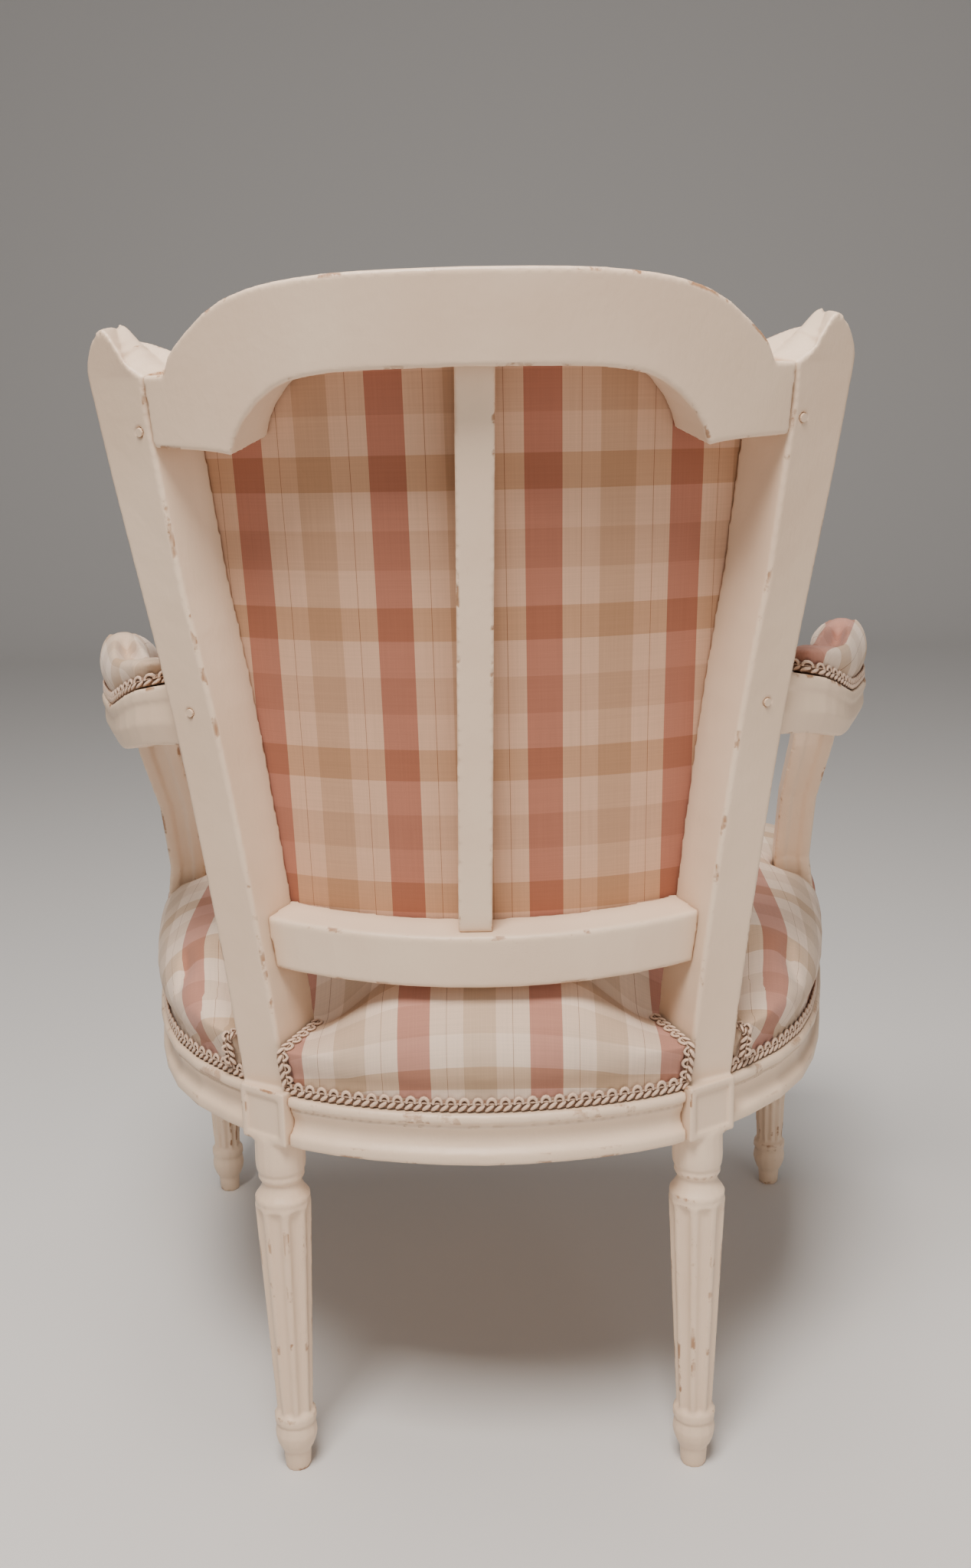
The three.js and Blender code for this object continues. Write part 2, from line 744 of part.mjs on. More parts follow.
const armSteps = 20;
const armPadSteps = { first: 3, last: 18 };
const armStations = spread(0, 1, armSteps, armStation);
const armPadStations = armStations.slice(armPadSteps.first, armPadSteps.last + 1);
const padLip = 1.5;
const padEndShareOfWidth = 0.72;

// A loop round the arm's top, a set distance in from its edges.
function armLoop(inset, rise) {
  const rows = armPadStations.map(({ top, side, half }, index) => {
    const round = index === 0 || index === armPadStations.length - 1 ? padEndShareOfWidth : 1;
    return { top, side, half: (half - inset) * round };
  });
  const shift = (row, toward) => [
    row.top.x + row.side.x * row.half * toward,
    row.top.y + row.side.y * row.half * toward,
    row.top.z + rise,
  ];
  return [...rows.map((row) => shift(row, 1)), ...rows.reverse().map((row) => shift(row, -1))];
}

function armLoopAround(inset, rise) {
  const loop = armLoop(inset, rise);
  const first = armPadStations[0].top;
  const last = armPadStations[armPadStations.length - 1].top;
  const along = last.clone().sub(first).setZ(0).normalize();
  return loop.map(([x, y, z], index) => {
    const atStart = index === 0 || index === loop.length - 1;
    const atEnd = index === armPadStations.length - 1 || index === armPadStations.length;
    const push = (atStart ? 1 : atEnd ? -1 : 0) * inset;
    return [x + along.x * push, y + along.y * push, z];
  });
}

const armBraidShare = 0.75;
const armBraidHeight = braidHeight * armBraidShare;
const armPadInset = padLip + braidThickness + clothGap / 2;

// Up the arm pad above its braid: [share of the height there, share of its bulge outward].
const armPadRiseShares = [[0, 0], [0.14, 0.9], [0.4, 1]];
const armPadBulge = 4;
// Over its top: [share of its half width left, share of the height above the braid].
const armPadTopShares = [[0.86, 0.7], [0.55, 0.92], [0.12, 1]];
// Under it, from its middle line out to its edge.
const armPadBaseShares = [0.3];
// Along the pad: [share of its length, share of its height].
const armPadCrownShares = [[0, 0.55], [0.14, 0.78], [0.3, 1], [0.7, 1], [0.88, 0.86], [1, 0.6]];

function armPadSolid() {
  const middles = armPadStations.map(({ top }) => top);
  const stationOf = (index) => (index < middles.length ? index : 2 * middles.length - 1 - index);
  const wall = clearance + armBraidHeight + clothGap;
  const crown = (index) => {
    const along = stationOf(index) / (middles.length - 1);
    return armPadHeight * tableAt(armPadCrownShares, along) - wall;
  };
  const foot = armLoopAround(armPadInset, clearance);
  const sides = armPadRiseShares.map(([high, bulge]) => (
    armLoopAround(armPadInset - bulge * armPadBulge, wall)
      .map(([x, y, z], index) => [x, y, z + high * crown(index)])
  ));
  const drawIn = (edgePoint, index, wide, rise) => {
    const station = stationOf(index);
    const inner = 0.5 * (1 - wide);
    const kept = middles.length * inner + station * (1 - 2 * inner);
    const low = Math.max(0, Math.min(Math.floor(kept), middles.length - 2));
    const middle = middles[low].clone().lerp(middles[low + 1], kept - low);
    return [
      middle.x + (edgePoint[0] - middles[station].x) * wide,
      middle.y + (edgePoint[1] - middles[station].y) * wide,
      middle.z + rise,
    ];
  };
  const edge = sides[sides.length - 1];
  return loft([
    ...armPadBaseShares.map((wide) => (
      foot.map((point, index) => drawIn(point, index, wide, 2 * clearance))
    )),
    foot,
    ...sides,
    ...armPadTopShares.map(([wide, high]) => (
      edge.map((point, index) => drawIn(point, index, wide, wall + high * crown(index)))
    )),
  ]);
}

function armBraidSolid() {
  const insets = [padLip, padLip + braidThickness];
  const [outer, inner] = insets.map((inset) => armLoopAround(inset, clearance));
  const [outerTop, innerTop] = [outer, inner].map((loop) => (
    loop.map(([x, y, z]) => [x, y, z + armBraidHeight])
  ));
  return hoop(outer.map((point, index) => [point, inner[index], innerTop[index], outerTop[index]]));
}

// Arm supports.

const supportFootY = seatRear - supportPlaceShare * seatDepth;
const supportPlanShare = shareWhere((point) => point.y < supportFootY);
const supportTopShare = 0.82;
const supportBase = planAt(supportPlanShare);
const supportFoot = supportBase.point.clone()
  .addScaledVector(supportBase.inward, railDepth / 2 + clothGap);
const supportHead = armStation(supportTopShare);
// Up the support: [height share, lean share toward the head, inward share of its width, size share].
const supportShares = [
  [0, 0, 0, 1], [0.12, 0.02, 0.1, 0.96], [0.35, 0.2, 0.36, 0.86], [0.6, 0.52, 0.42, 0.86],
  [0.8, 0.8, 0.3, 0.94], [1, 1, 0.2, 1],
];
const panelShares = [
  [-1, -1], [-0.4, -1], [-0.4, -0.88], [0.4, -0.88], [0.4, -1], [1, -1],
  [1, -0.4], [0.88, -0.4], [0.88, 0.4], [1, 0.4], [1, 1],
  [0.4, 1], [0.4, 0.88], [-0.4, 0.88], [-0.4, 1], [-1, 1],
];

// The room that the cover leaves round a support, open to the chair's side.
const supportRoomShares = [[-1, -1], [2, -1], [2, 1], [-1, 1]];

function supportSolid(gap) {
  const head = supportHead.top.clone().setZ(supportHead.top.z - supportHead.depth / 2);
  const foot = supportFoot.clone().setZ(railTop + clearance - gap);
  const turn = Math.atan2(supportBase.inward.y, supportBase.inward.x) - Math.PI;
  return loft(supportShares.map(([high, lean, inward, size]) => {
    const middle = [
      foot.x + (head.x - foot.x) * lean - inward * supportWidth,
      foot.y + (head.y - foot.y) * lean,
      foot.z + (head.z - foot.z) * high,
    ];
    const section = gap > clearance ? supportRoomShares : panelShares;
    return section.map(([across, along]) => {
      const x = across * (size * supportWidth / 2 + gap);
      const y = along * (size * supportDepth / 2 + gap);
      return [
        middle[0] + x * Math.cos(turn) - y * Math.sin(turn),
        middle[1] + x * Math.sin(turn) + y * Math.cos(turn),
        middle[2],
      ];
    });
  }));
}

const supportTenonWidth = 12;
const supportTenonDepth = 20;
const supportTenonHeight = 18;
const supportTenonHalf = [supportTenonWidth / 2, supportTenonDepth / 2, supportTenonHeight / 2];
const supportTenonCentre = [supportFoot.x, supportFoot.y, railTop + clothGap - supportTenonHalf[2]];

// Posts, legs and rails put together.

const armTenonHalf = tenonWidth / 2;
const armTenonFrom = armSpine.getPoint(0.13).toArray();
armTenonFrom[2] -= armDepth / 2;

// The arm's tenon runs on past the peg by its own half width.
function armTenon(gap) {
  return bar(armTenonFrom, armRoot, 2 * (armTenonHalf + gap), tenonHeight + 2 * gap);
}

const crestTenonDropShare = 1.52;
const crestTenonZ = backTop - crestHeight * crestTenonDropShare;

function crestTenon(gap) {
  const reach = crestSpan + tenonLength + gap;
  const deep = rebateDepth / 2;
  return bar(
    onBack(crestSpan - overrun, deep, crestTenonZ),
    onBack(reach, deep, crestTenonZ),
    tenonWidth + 2 * gap,
    tenonHeight + 2 * gap,
  );
}

function lowerRailTenon(gap) {
  const z = lowerRailTop - lowerRailHeight / 2;
  const span = stileInner((z - backFoot) / backHeight);
  const deep = lowerRailInset + lowerRailDepth / 2;
  return bar(
    onBack(span - overrun, deep, z),
    onBack(span + tenonLength + gap, deep, z),
    tenonWidth + 2 * gap,
    tenonHeight + 2 * gap,
  );
}

const pegLengthShare = 0.72;
const pegSides = 12;

function peg(x, z, gap) {
  return pin(
    onBack(x, -clearance * 2, z),
    onBack(x, backThickness * pegLengthShare + gap, z),
    pegRadius + gap,
    pegSides,
  );
}

const pegPlaceShare = 0.55;
const crestPegX = crestSpan + tenonLength * pegPlaceShare;
const crestPegZ = crestTenonZ - pegRadius;
// The arm's peg crosses the middle of its tenon.
const armPegDepthShare = 0.62;
const armPegDepth = backThickness * armPegDepthShare;
const armPegX = armRootMiddle + pegRadius / 2;
const armPegZ = armRoot[2] - (armPegDepth - backThickness / 2) * rakeShare;

const panelRecess = 2;
const panelMargin = 5.5;
const panelCutShare = 1.5;

function rearDiePanel() {
  const half = rearDieSize / 2;
  const out = half + panelRecess / 2;
  return box(
    [rearDieX + Math.sin(rearDieTurn) * out, rearDieY + Math.cos(rearDieTurn) * out, dieMid],
    [half - panelMargin, panelRecess * panelCutShare, (dieTop - railBottom) / 2 - panelMargin],
    rearDieTurn,
  );
}

const rearDie = box(rearDieCentre, rearDieHalf, rearDieTurn);
const rearDieKeepOut = box(rearDieCentre, grown(rearDieHalf, clearance), rearDieTurn);
const frontDie = box(frontDieCentre, frontDieHalf, 0);
const frontDieKeepOut = box(frontDieCentre, grown(frontDieHalf, clearance), 0);

const rearRailEnd = rearRailPlaces[rearRailPlaces.length - 1];
const sideRailStart = sideRailPlaces[0];
const sideRailEnd = sideRailPlaces[sideRailPlaces.length - 1];
const frontRailEnd = frontRailPlaces[frontRailPlaces.length - 1];

const joints = {
  rearRail: (gap) => railTenon(planAt(tenonShares.rear), rearRailEnd, gap),
  sideRear: (gap) => railTenon(planAt(tenonShares.sideRear), sideRailStart, gap),
  sideFront: (gap) => railTenon(planAt(tenonShares.sideFront), sideRailEnd, gap),
  front: (gap) => railTenon(frontAt(tenonShares.front), frontRailEnd, gap),
};

const stileSolid = stile(0, stileTopShare);
const rearPost = stileSolid
  .subtract(backRebate)
  .add(rearDie.subtract(rearDiePanel()))
  .add(turnedLeg([rearLegX, rearLegY], rearFlutes, wideFluteShares, -rearDieTurn))
  .subtract(joints.rearRail(clearance))
  .subtract(joints.sideRear(clearance))
  .subtract(crestTenon(clearance))
  .subtract(lowerRailTenon(clearance))
  .subtract(armTenon(clearance))
  .subtract(peg(crestPegX, crestPegZ, clearance))
  .subtract(peg(armPegX, armPegZ, clearance));
addPair("rear_post", rearPost, paint);

const frontLeg = frontDie
  .add(turnedLeg([frontDieX, frontDieY], frontFlutes, slimFluteShares, 0))
  .subtract(joints.sideFront(clearance))
  .subtract(joints.front(clearance));
addPair("front_leg", frontLeg, paint);

const rearRail = railSweep(rearRailPlaces, railSectionShares)
  .subtract(rearDieKeepOut)
  .subtract(mirrored(rearDieKeepOut))
  .add(joints.rearRail(0))
  .add(mirrored(joints.rearRail(0)));
addPiece("rear_seat_rail", rearRail, paint);

const sideRail = railSweep(sideRailPlaces, railSectionShares)
  .subtract(rearDieKeepOut)
  .subtract(frontDieKeepOut)
  .add(joints.sideRear(0))
  .add(joints.sideFront(0))
  .subtract(box(supportTenonCentre, grown(supportTenonHalf, clearance), 0));
addPair("side_seat_rail", sideRail, paint);

const frontRail = railSweep(frontRailPlaces, railSectionShares)
  .subtract(frontDieKeepOut)
  .subtract(mirrored(frontDieKeepOut))
  .add(joints.front(0))
  .add(mirrored(joints.front(0)));
addPiece("front_seat_rail", frontRail, paint);

const battenTop = crestUnderAt(0) - clearance;
const battenFoot = lowerRailTop - lowerRailDip + clearance;
const batten = loft(spread(0, 1, 6, (share) => {
  const half = (battenBottomWidth + (battenTopWidth - battenBottomWidth) * share) / 2;
  const z = battenFoot + (battenTop - battenFoot) * share;
  const front = battenInset + battenDepth;
  return [
    [-half, battenInset], [half, battenInset], [half, front], [-half, front],
  ].map(([x, deep]) => onBack(x + battenLean * (1 - 2 * share), deep, z));
}));
addPiece("back_batten", batten, paint);

const crest = crestSolid(-clearance)
  .subtract(backRebate)
  .add(crestTenon(0))
  .add(mirrored(crestTenon(0)))
  .subtract(peg(crestPegX, crestPegZ, clearance))
  .subtract(mirrored(peg(crestPegX, crestPegZ, clearance)));
addPiece("crest_rail", crest, paint);

const stileKeepOut = stile(clearance, stileTopShare);
const lowerRail = lowerRailSolid()
  .subtract(backRebate)
  .subtract(stileKeepOut)
  .subtract(mirrored(stileKeepOut))
  .add(lowerRailTenon(0))
  .add(mirrored(lowerRailTenon(0)));
addPiece("back_lower_rail", lowerRail, paint);

const armBody = armSolid(0)
  .subtract(stile(clearance, stileTopShare))
  .add(armTenon(0))
  .subtract(peg(armPegX, armPegZ, clearance));
addPair("arm", armBody, paint);
addPair("arm_pad", armPadSolid(), cloth);
addPair("arm_braid", armBraidSolid(), gimp);

const support = supportSolid(0)
  .subtract(armSolid(clearance))
  .add(box(supportTenonCentre, supportTenonHalf, 0));
addPair("arm_support", support, paint);

addPair("crest_peg", peg(crestPegX, crestPegZ, 0), paint);
addPair("arm_peg", peg(armPegX, armPegZ, 0), paint);

// The back's upholstery.

const liningOutline = backOutline(rebateWidth - clothGap);
const liningBase = rebateDepth + 2 * clearance;
const liningFront = liningBase + liningThickness;
const lining = backSheet(liningOutline, liningBase, liningFront);
addPiece("back_lining", lining, cloth);

const backPadBase = liningFront + clothGap;
// Over the inside back: [share out from the middle, share of its crown].
const backPadShares = [
  [0.04, 1], [0.35, 0.99], [0.6, 0.95], [0.8, 0.84], [0.91, 0.7], [0.97, 0.52], [0.995, 0.36], [1, 0.24],
];
const backPad = backShell(liningOutline, [
  ...backPadShares.map(([share, high]) => [share, backPadBase + high * backCrown]),
  ...sheetShares.slice().reverse().map((share) => [share, backPadBase]),
]);
addPiece("back_pad", backPad, cloth);

const backBraidBase = backThickness + clothGap + clearance;
const backBraidWidth = 8;
const braidOuter = backOutline(rebateWidth + backBraidWidth);
const braidInner = backOutline(rebateWidth - clothGap / 2);
const backBraid = hoop(braidOuter.map(([x, z], index) => {
  const [innerX, innerZ] = braidInner[index];
  const top = backBraidBase + braidThickness;
  return [
    onBack(x, backBraidBase, z), onBack(x, top, z),
    onBack(innerX, top, innerZ), onBack(innerX, backBraidBase, innerZ),
  ];
}));
addPiece("back_braid", backBraid, gimp);

// The seat's upholstery.

const cornerRadius = 20;
const cornerSteps = 4;
const padEndShare = 0.95;
const frontEndShare = 0.93;
const cornerX = seatHalfWidth - cornerRadius;
const cornerY = frontAt(frontEndShare).point.y + cornerRadius;

function cornerAt(share) {
  const angle = share * Math.PI / 2;
  const inward = new THREE.Vector3(-Math.cos(angle), Math.sin(angle), 0);
  const point = new THREE.Vector3(cornerX, cornerY, 0).addScaledVector(inward, -cornerRadius);
  return { point, inward };
}

const seatHalfOutline = [
  ...spread(0, padEndShare, 16, planAt),
  ...spread(0, 1, cornerSteps, cornerAt),
  ...spread(frontEndShare, 0, 8, frontAt).slice(1),
];
const seatOutline = [
  ...seatHalfOutline,
  ...seatHalfOutline.slice(1, -1).reverse().map(({ point, inward }) => ({
    point: new THREE.Vector3(-point.x, point.y, 0),
    inward: new THREE.Vector3(-inward.x, inward.y, 0),
  })),
];
const seatPadBase = railTop + 2 * strapThickness + 4 * clearance;
const coverLedgeShare = 0.1;
const seatPadInset = railDepth * coverLedgeShare + clearance + braidThickness + clothGap;
// Up the seat's side: [share of the bulge outward, share of the crown].
const seatSideShares = [[0, 0.12], [0.75, 0.2], [1, 0.33], [0.85, 0.46], [0.1, 0.6], [-1.3, 0.71]];
// Over its top: [share out from the middle, share of the crown].
const seatTopShares = [[0.8, 0.83], [0.55, 0.935], [0.28, 0.99], [0.05, 1]];
const seatMiddleY = (seatRear + frontY) / 2;

function seatRing(inset, z) {
  return seatOutline.map(({ point, inward }) => [
    point.x + inward.x * inset, point.y + inward.y * inset, z,
  ]);
}

const seatSideRings = seatSideShares.map(([bulge, high]) => (
  seatRing(seatPadInset - bulge * seatBulge, railTop + high * seatCrown)
));
const seatEdge = seatSideRings[seatSideRings.length - 1];
const postCut = braidThickness + 2 * clothGap;
const padStileShare = 0.4;
const seatPad = loft([
  seatRing(seatPadInset, seatPadBase),
  ...seatSideRings,
  ...seatTopShares.map(([share, high]) => seatEdge.map(([x, y]) => [
    x * share, seatMiddleY + (y - seatMiddleY) * share, railTop + high * seatCrown,
  ])),
])
  .subtract(stileRoom(postCut, padStileShare))
  .subtract(mirrored(stileRoom(postCut, padStileShare)))
  .subtract(box(rearDieCentre, grown(rearDieHalf, clothGap), rearDieTurn))
  .subtract(mirrored(box(rearDieCentre, grown(rearDieHalf, clothGap), rearDieTurn)))
  .subtract(supportSolid(clothGap))
  .subtract(mirrored(supportSolid(clothGap)));
addPiece("seat_pad", seatPad, cloth);

function braidStrip(places) {
  const outer = railDepth * coverLedgeShare + clearance;
  const inner = outer + braidThickness;
  const section = [[outer, 0], [inner, 0], [inner, braidHeight], [outer, braidHeight]];
  return loft(places.map(({ point, inward }) => section.map(([deep, high]) => [
    point.x + inward.x * deep, point.y + inward.y * deep, railTop + clearance + high,
  ])));
}

// Round each stile the braid turns up its side and then forward: places as
// [deep of its rear edge, deep of its front edge, rise of its rear edge, rise of its front edge].
const riserPlaces = [
  [-riserLap, riserWidth, 0, 0],
  [-riserLap, riserWidth, riserHeight + riserLap, riserHeight],
  [backThickness - riserLap, backThickness - clothGap, riserTop + riserLap, riserTop],
];

function braidRiser(edgeAt, outward) {
  return loft(riserPlaces.map(([rear, front, rearRise, frontRise]) => {
    const corner = (off, deep, rise) => {
      const z = dieTop + clothGap + rise;
      const x = edgeAt((z - backFoot) / backHeight) + outward * (clothGap + off);
      return onBack(x, deep, z);
    };
    return [
      corner(0, rear, rearRise), corner(0, front, frontRise),
      corner(braidThickness, front, frontRise), corner(braidThickness, rear, rearRise),
    ];
  }));
}

const stileClear = stileRoom(clothGap, padStileShare);
const dieClear = box(rearDieCentre, grown(rearDieHalf, clearance), rearDieTurn);
const supportClear = supportSolid(clothGap);
const rearBraid = braidStrip(rearRailPlaces)
  .subtract(dieClear).subtract(mirrored(dieClear))
  .subtract(stileClear).subtract(mirrored(stileClear))
  .add(braidRiser(stileInner, -1))
  .add(mirrored(braidRiser(stileInner, -1)));
addPiece("seat_braid_rear", rearBraid, gimp);

const braidBreakShare = 0.01;
const supportPlaces = {
  before: supportPlanShare - braidBreakShare,
  after: supportPlanShare + braidBreakShare,
};
const sideBraid = braidStrip(spread(sideStartShare, supportPlaces.before, 14, planAt))
  .subtract(dieClear).subtract(stileClear).subtract(supportClear)
  .add(braidRiser(stileOuter, 1));
addPair("seat_braid", sideBraid, gimp);

const frontBraidHalf = [
  ...spread(supportPlaces.after, padEndShare, 4, planAt),
  ...spread(0, 1, cornerSteps, cornerAt),
  ...spread(frontEndShare, 0, 6, frontAt).slice(1),
];
const frontBraid = braidStrip([
  ...frontBraidHalf,
  ...frontBraidHalf.slice(0, -1).reverse().map(({ point, inward }) => ({
    point: new THREE.Vector3(-point.x, point.y, 0),
    inward: new THREE.Vector3(-inward.x, inward.y, 0),
  })),
]).subtract(supportClear).subtract(mirrored(supportClear));
addPiece("seat_braid_front", frontBraid, gimp);

// Webbing and corner blocks under the seat.

const crossStrapShares = [0.252, 0.4, 0.55, 0.832];
const longStrapShares = [0.103, 0.296, 0.653];
const strapWave = (strapThickness + clearance) / 2 + clearance / 2;
const strapLow = railTop + clearance + strapThickness / 2;
const strapMargin = 15;
const strapEase = 2;
const crossStraps = crossStrapShares.map((share) => seatRear - share * seatDepth);
const longStraps = [
  ...longStrapShares.slice().reverse().map((share) => -share * seatHalfWidth),
  ...longStrapShares.map((share) => share * seatHalfWidth),
];

// The seat's outer half width at a place along its depth, read from its outline.
const halfWidthRows = [
  ...spread(0, padEndShare, 40, planAt).map(({ point }) => [-point.y, point.x]),
  [-cornerY, seatHalfWidth], [-frontY, seatHalfWidth],
];
const rearRows = spread(0, padEndShare, 40, planAt).map(({ point }) => [point.x, point.y]);

// The places along a strap at which its level changes, as it passes under and over others.
function strapStops(from, to, crossings) {
  const stops = [[from, 0]];
  for (const [middle, high] of crossings) {
    const start = middle - strapWidth / 2 - strapEase;
    const end = Math.min(middle + strapWidth / 2 + strapEase, to);
    if (start > from + strapEase) {
      stops.push([start, high]);
    }
    stops.push([end, high]);
  }
  if (stops[stops.length - 1][0] < to - strapEase) {
    stops.push([to, 0]);
  }
  return stops;
}

function strap(level, from, to, width, crossings, place) {
  const stops = strapStops(from, to, crossings);
  return loft(stops.map(([along, high]) => {
    const z = level + high * 2 * strapWave;
    return [[-1, -1], [1, -1], [1, 1], [-1, 1]].map(([across, up]) => (
      place(along, across * width / 2, z + up * strapThickness / 2)
    ));
  }));
}

// A long strap whose end lies on a cross strap's end passes over it.
function crosses(x, y) {
  return tableAt(rearRows, Math.abs(x) + strapWidth / 2) - strapMargin > y - strapWidth / 2;
}

function wholeCrossing(x, y) {
  return tableAt(rearRows, Math.abs(x) + strapWidth / 2) - strapMargin > y + strapWidth / 2;
}

crossStraps.forEach((y, row) => {
  const reach = Math.min(
    tableAt(halfWidthRows, -y - strapWidth / 2),
    tableAt(halfWidthRows, -y + strapWidth / 2),
  ) - strapMargin;
  const crossings = longStraps
    .map((x, column) => [x, wholeCrossing(x, y) ? (row + column) % 2 : 0])
    .filter(([x]) => crosses(x, y));
  const place = (along, across, z) => [along, y + across, z];
  const solid = strap(strapLow, -reach, reach, strapWidth, crossings, place);
  addPiece(`web_cross_${row + 1}`, solid, jute);
});

longStraps.forEach((x, column) => {
  const reach = tableAt(rearRows, Math.abs(x) + strapWidth / 2) - strapMargin;
  const front = frontAt(Math.abs(x) / frontDieX).point.y + strapMargin;
  const crossings = crossStraps
    .map((y, row) => [y, wholeCrossing(x, y) ? 1 - (row + column) % 2 : 1])
    .filter(([y]) => crosses(x, y))
    .reverse();
  const place = (along, across, z) => [x + across, along, z];
  const solid = strap(strapLow, front, reach, strapWidth, crossings, place);
  addPiece(`web_long_${column + 1}`, solid, jute);
});

const blockDrop = 7;
const blockHeight = 24;
const blockReach = 52;
const blockMiddle = railTop - blockDrop - blockHeight / 2;

// The two sides of a corner block, as the shares of across and along in their directions.
const rearBlockShares = [[-1, 0.12], [0.42, -1]];
const frontBlockShares = [[-1, 0], [0, 1]];

// A glue block: a wedge in the corner, cut to the faces of the rails and the die.
function cornerBlock(corner, first, second) {
  const start = [corner[0], corner[1]];
  const sides = [first, second].map(([x, y]) => {
    const size = Math.hypot(x, y);
    return [start[0] + x / size * blockReach, start[1] + y / size * blockReach];
  });
  return loft([blockMiddle - blockHeight / 2, blockMiddle + blockHeight / 2].map((z) => (
    [start, ...sides].map(([x, y]) => [x, y, z])
  )));
}

const railCuts = [
  railKeepOut(rearRailPlaces, clearance),
  railKeepOut(sideRailPlaces, clearance),
  railKeepOut(frontRailPlaces, clearance),
];
const rearBlock = railCuts.reduce(
  (solid, cut) => solid.subtract(cut),
  cornerBlock([rearDieX - rearDieSize / 4, rearDieY - rearDieSize / 4], ...rearBlockShares),
).subtract(rearDieKeepOut);
addPair("rear_block", rearBlock, beech);
const frontBlock = railCuts.reduce(
  (solid, cut) => solid.subtract(cut),
  cornerBlock([frontDieX - frontDieSize / 4, frontDieY + frontDieSize / 4], ...frontBlockShares),
).subtract(frontDieKeepOut);
addPair("front_block", frontBlock, beech);

// The frame's origin is the middle of the floor under the whole chair.
const middle = new THREE.Box3().setFromObject(chair).getCenter(new THREE.Vector3());
chair.position.set(-middle.x, -middle.y, 0);

export default chair;
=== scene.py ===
import math

import bmesh
import bpy
import numpy as np
from mathutils import Matrix, Vector
from mathutils.bvhtree import BVHTree


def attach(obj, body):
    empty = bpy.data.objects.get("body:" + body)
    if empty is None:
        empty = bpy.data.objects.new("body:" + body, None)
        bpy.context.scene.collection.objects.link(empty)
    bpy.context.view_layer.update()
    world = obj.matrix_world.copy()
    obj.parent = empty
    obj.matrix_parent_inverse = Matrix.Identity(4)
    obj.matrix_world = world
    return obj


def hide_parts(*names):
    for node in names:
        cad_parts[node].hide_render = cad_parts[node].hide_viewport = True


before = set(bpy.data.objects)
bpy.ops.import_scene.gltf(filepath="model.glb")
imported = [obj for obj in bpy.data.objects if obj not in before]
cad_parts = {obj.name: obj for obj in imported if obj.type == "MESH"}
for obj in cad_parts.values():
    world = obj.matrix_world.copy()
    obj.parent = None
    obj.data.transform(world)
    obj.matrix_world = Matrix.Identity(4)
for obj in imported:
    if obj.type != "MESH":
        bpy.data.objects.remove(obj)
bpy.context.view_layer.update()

print("stage: frame loaded,", len(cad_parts), "solids")

mm = 0.001
hair = 0.01 * mm
tiny = 1e-9
upright = (0.0, 0.0, 1.0)


# small helpers for pieces

def editMode(selection=None):
    bpy.ops.object.mode_set(mode="EDIT")
    if selection:
        bpy.ops.mesh.select_all(action=selection)


def objectMode():
    bpy.ops.object.mode_set(mode="OBJECT")


def deselectAll():
    if bpy.context.mode != "OBJECT":
        objectMode()
    bpy.ops.object.select_all(action="DESELECT")


def makeActive(piece):
    deselectAll()
    piece.select_set(True)
    bpy.context.view_layer.objects.active = piece


def modify(piece, name, kind, **values):
    modifier = piece.modifiers.new(name, kind)
    for key, value in values.items():
        setattr(modifier, key, value)


def applyAll(piece):
    makeActive(piece)
    for modifier in list(piece.modifiers):
        bpy.ops.object.modifier_apply(modifier=modifier.name)


def dress(piece, material):
    piece.data.materials.clear()
    piece.data.materials.append(material)


def finishPiece(piece, material, slot, *replaced):
    dress(piece, material)
    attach(piece, "root")
    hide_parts(*replaced)


def linked(name, data):
    piece = bpy.data.objects.new(name, data)
    bpy.context.scene.collection.objects.link(piece)
    return piece


def nodeCopy(name, nodeName):
    # a merged copy of a solid, which stands apart from it
    piece = linked(name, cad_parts[nodeName].data.copy())
    makeActive(piece)
    editMode("SELECT")
    bpy.ops.mesh.remove_doubles(threshold=hair)
    objectMode()
    return piece


# small helpers for points

def readVertices(piece, what):
    flat = np.zeros(len(piece.data.vertices) * 3)
    piece.data.vertices.foreach_get(what, flat)
    return flat.reshape(-1, 3)


def getPoints(piece):
    return readVertices(piece, "co")


def getNormals(piece):
    return readVertices(piece, "normal")


def setPoints(piece, points):
    piece.data.vertices.foreach_set("co", np.ascontiguousarray(points, dtype=float).ravel())
    piece.data.update()


def edgeEnds(piece):
    ends = np.zeros(len(piece.data.edges) * 2, dtype=np.int32)
    piece.data.edges.foreach_get("vertices", ends)
    return ends.reshape(-1, 2)


def neighbourSums(ends, row):
    # at each point, the sum of a value over the points that an edge joins to it
    near, far = ends.T
    return np.bincount(near, row[far], minlength=len(row)) + np.bincount(far, row[near], minlength=len(row))


def unit(rows):
    return rows / np.maximum(np.linalg.norm(rows, axis=1), tiny)[:, None]


def between(value, start, end):
    # 0 at the start and 1 at the end, even in between and level beyond
    start, end = np.array(start), np.array(end)
    return np.clip((value - start) / (end - start), 0, 1)


def eased(share):
    return share * share * (3 - 2 * share)


def shapeOf(piece):
    return getPoints(piece), [list(face.vertices) for face in piece.data.polygons]


def joined(shapes):
    # several shapes, each of points and faces, as one
    allPoints, allFaces, start = [], [], 0
    for points, faces in shapes:
        allPoints.append(points)
        allFaces += [[start + index for index in face] for face in faces]
        start += len(points)
    return np.vstack(allPoints), allFaces


def searchTree(pieces):
    points, faces = joined([shapeOf(piece) for piece in pieces])
    return BVHTree.FromPolygons(points.tolist(), faces)


def solidTree(nodeNames):
    return searchTree([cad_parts[nodeName] for nodeName in nodeNames])


def distances(tree, points):
    return np.array([tree.find_nearest(Vector(point))[3] for point in points])


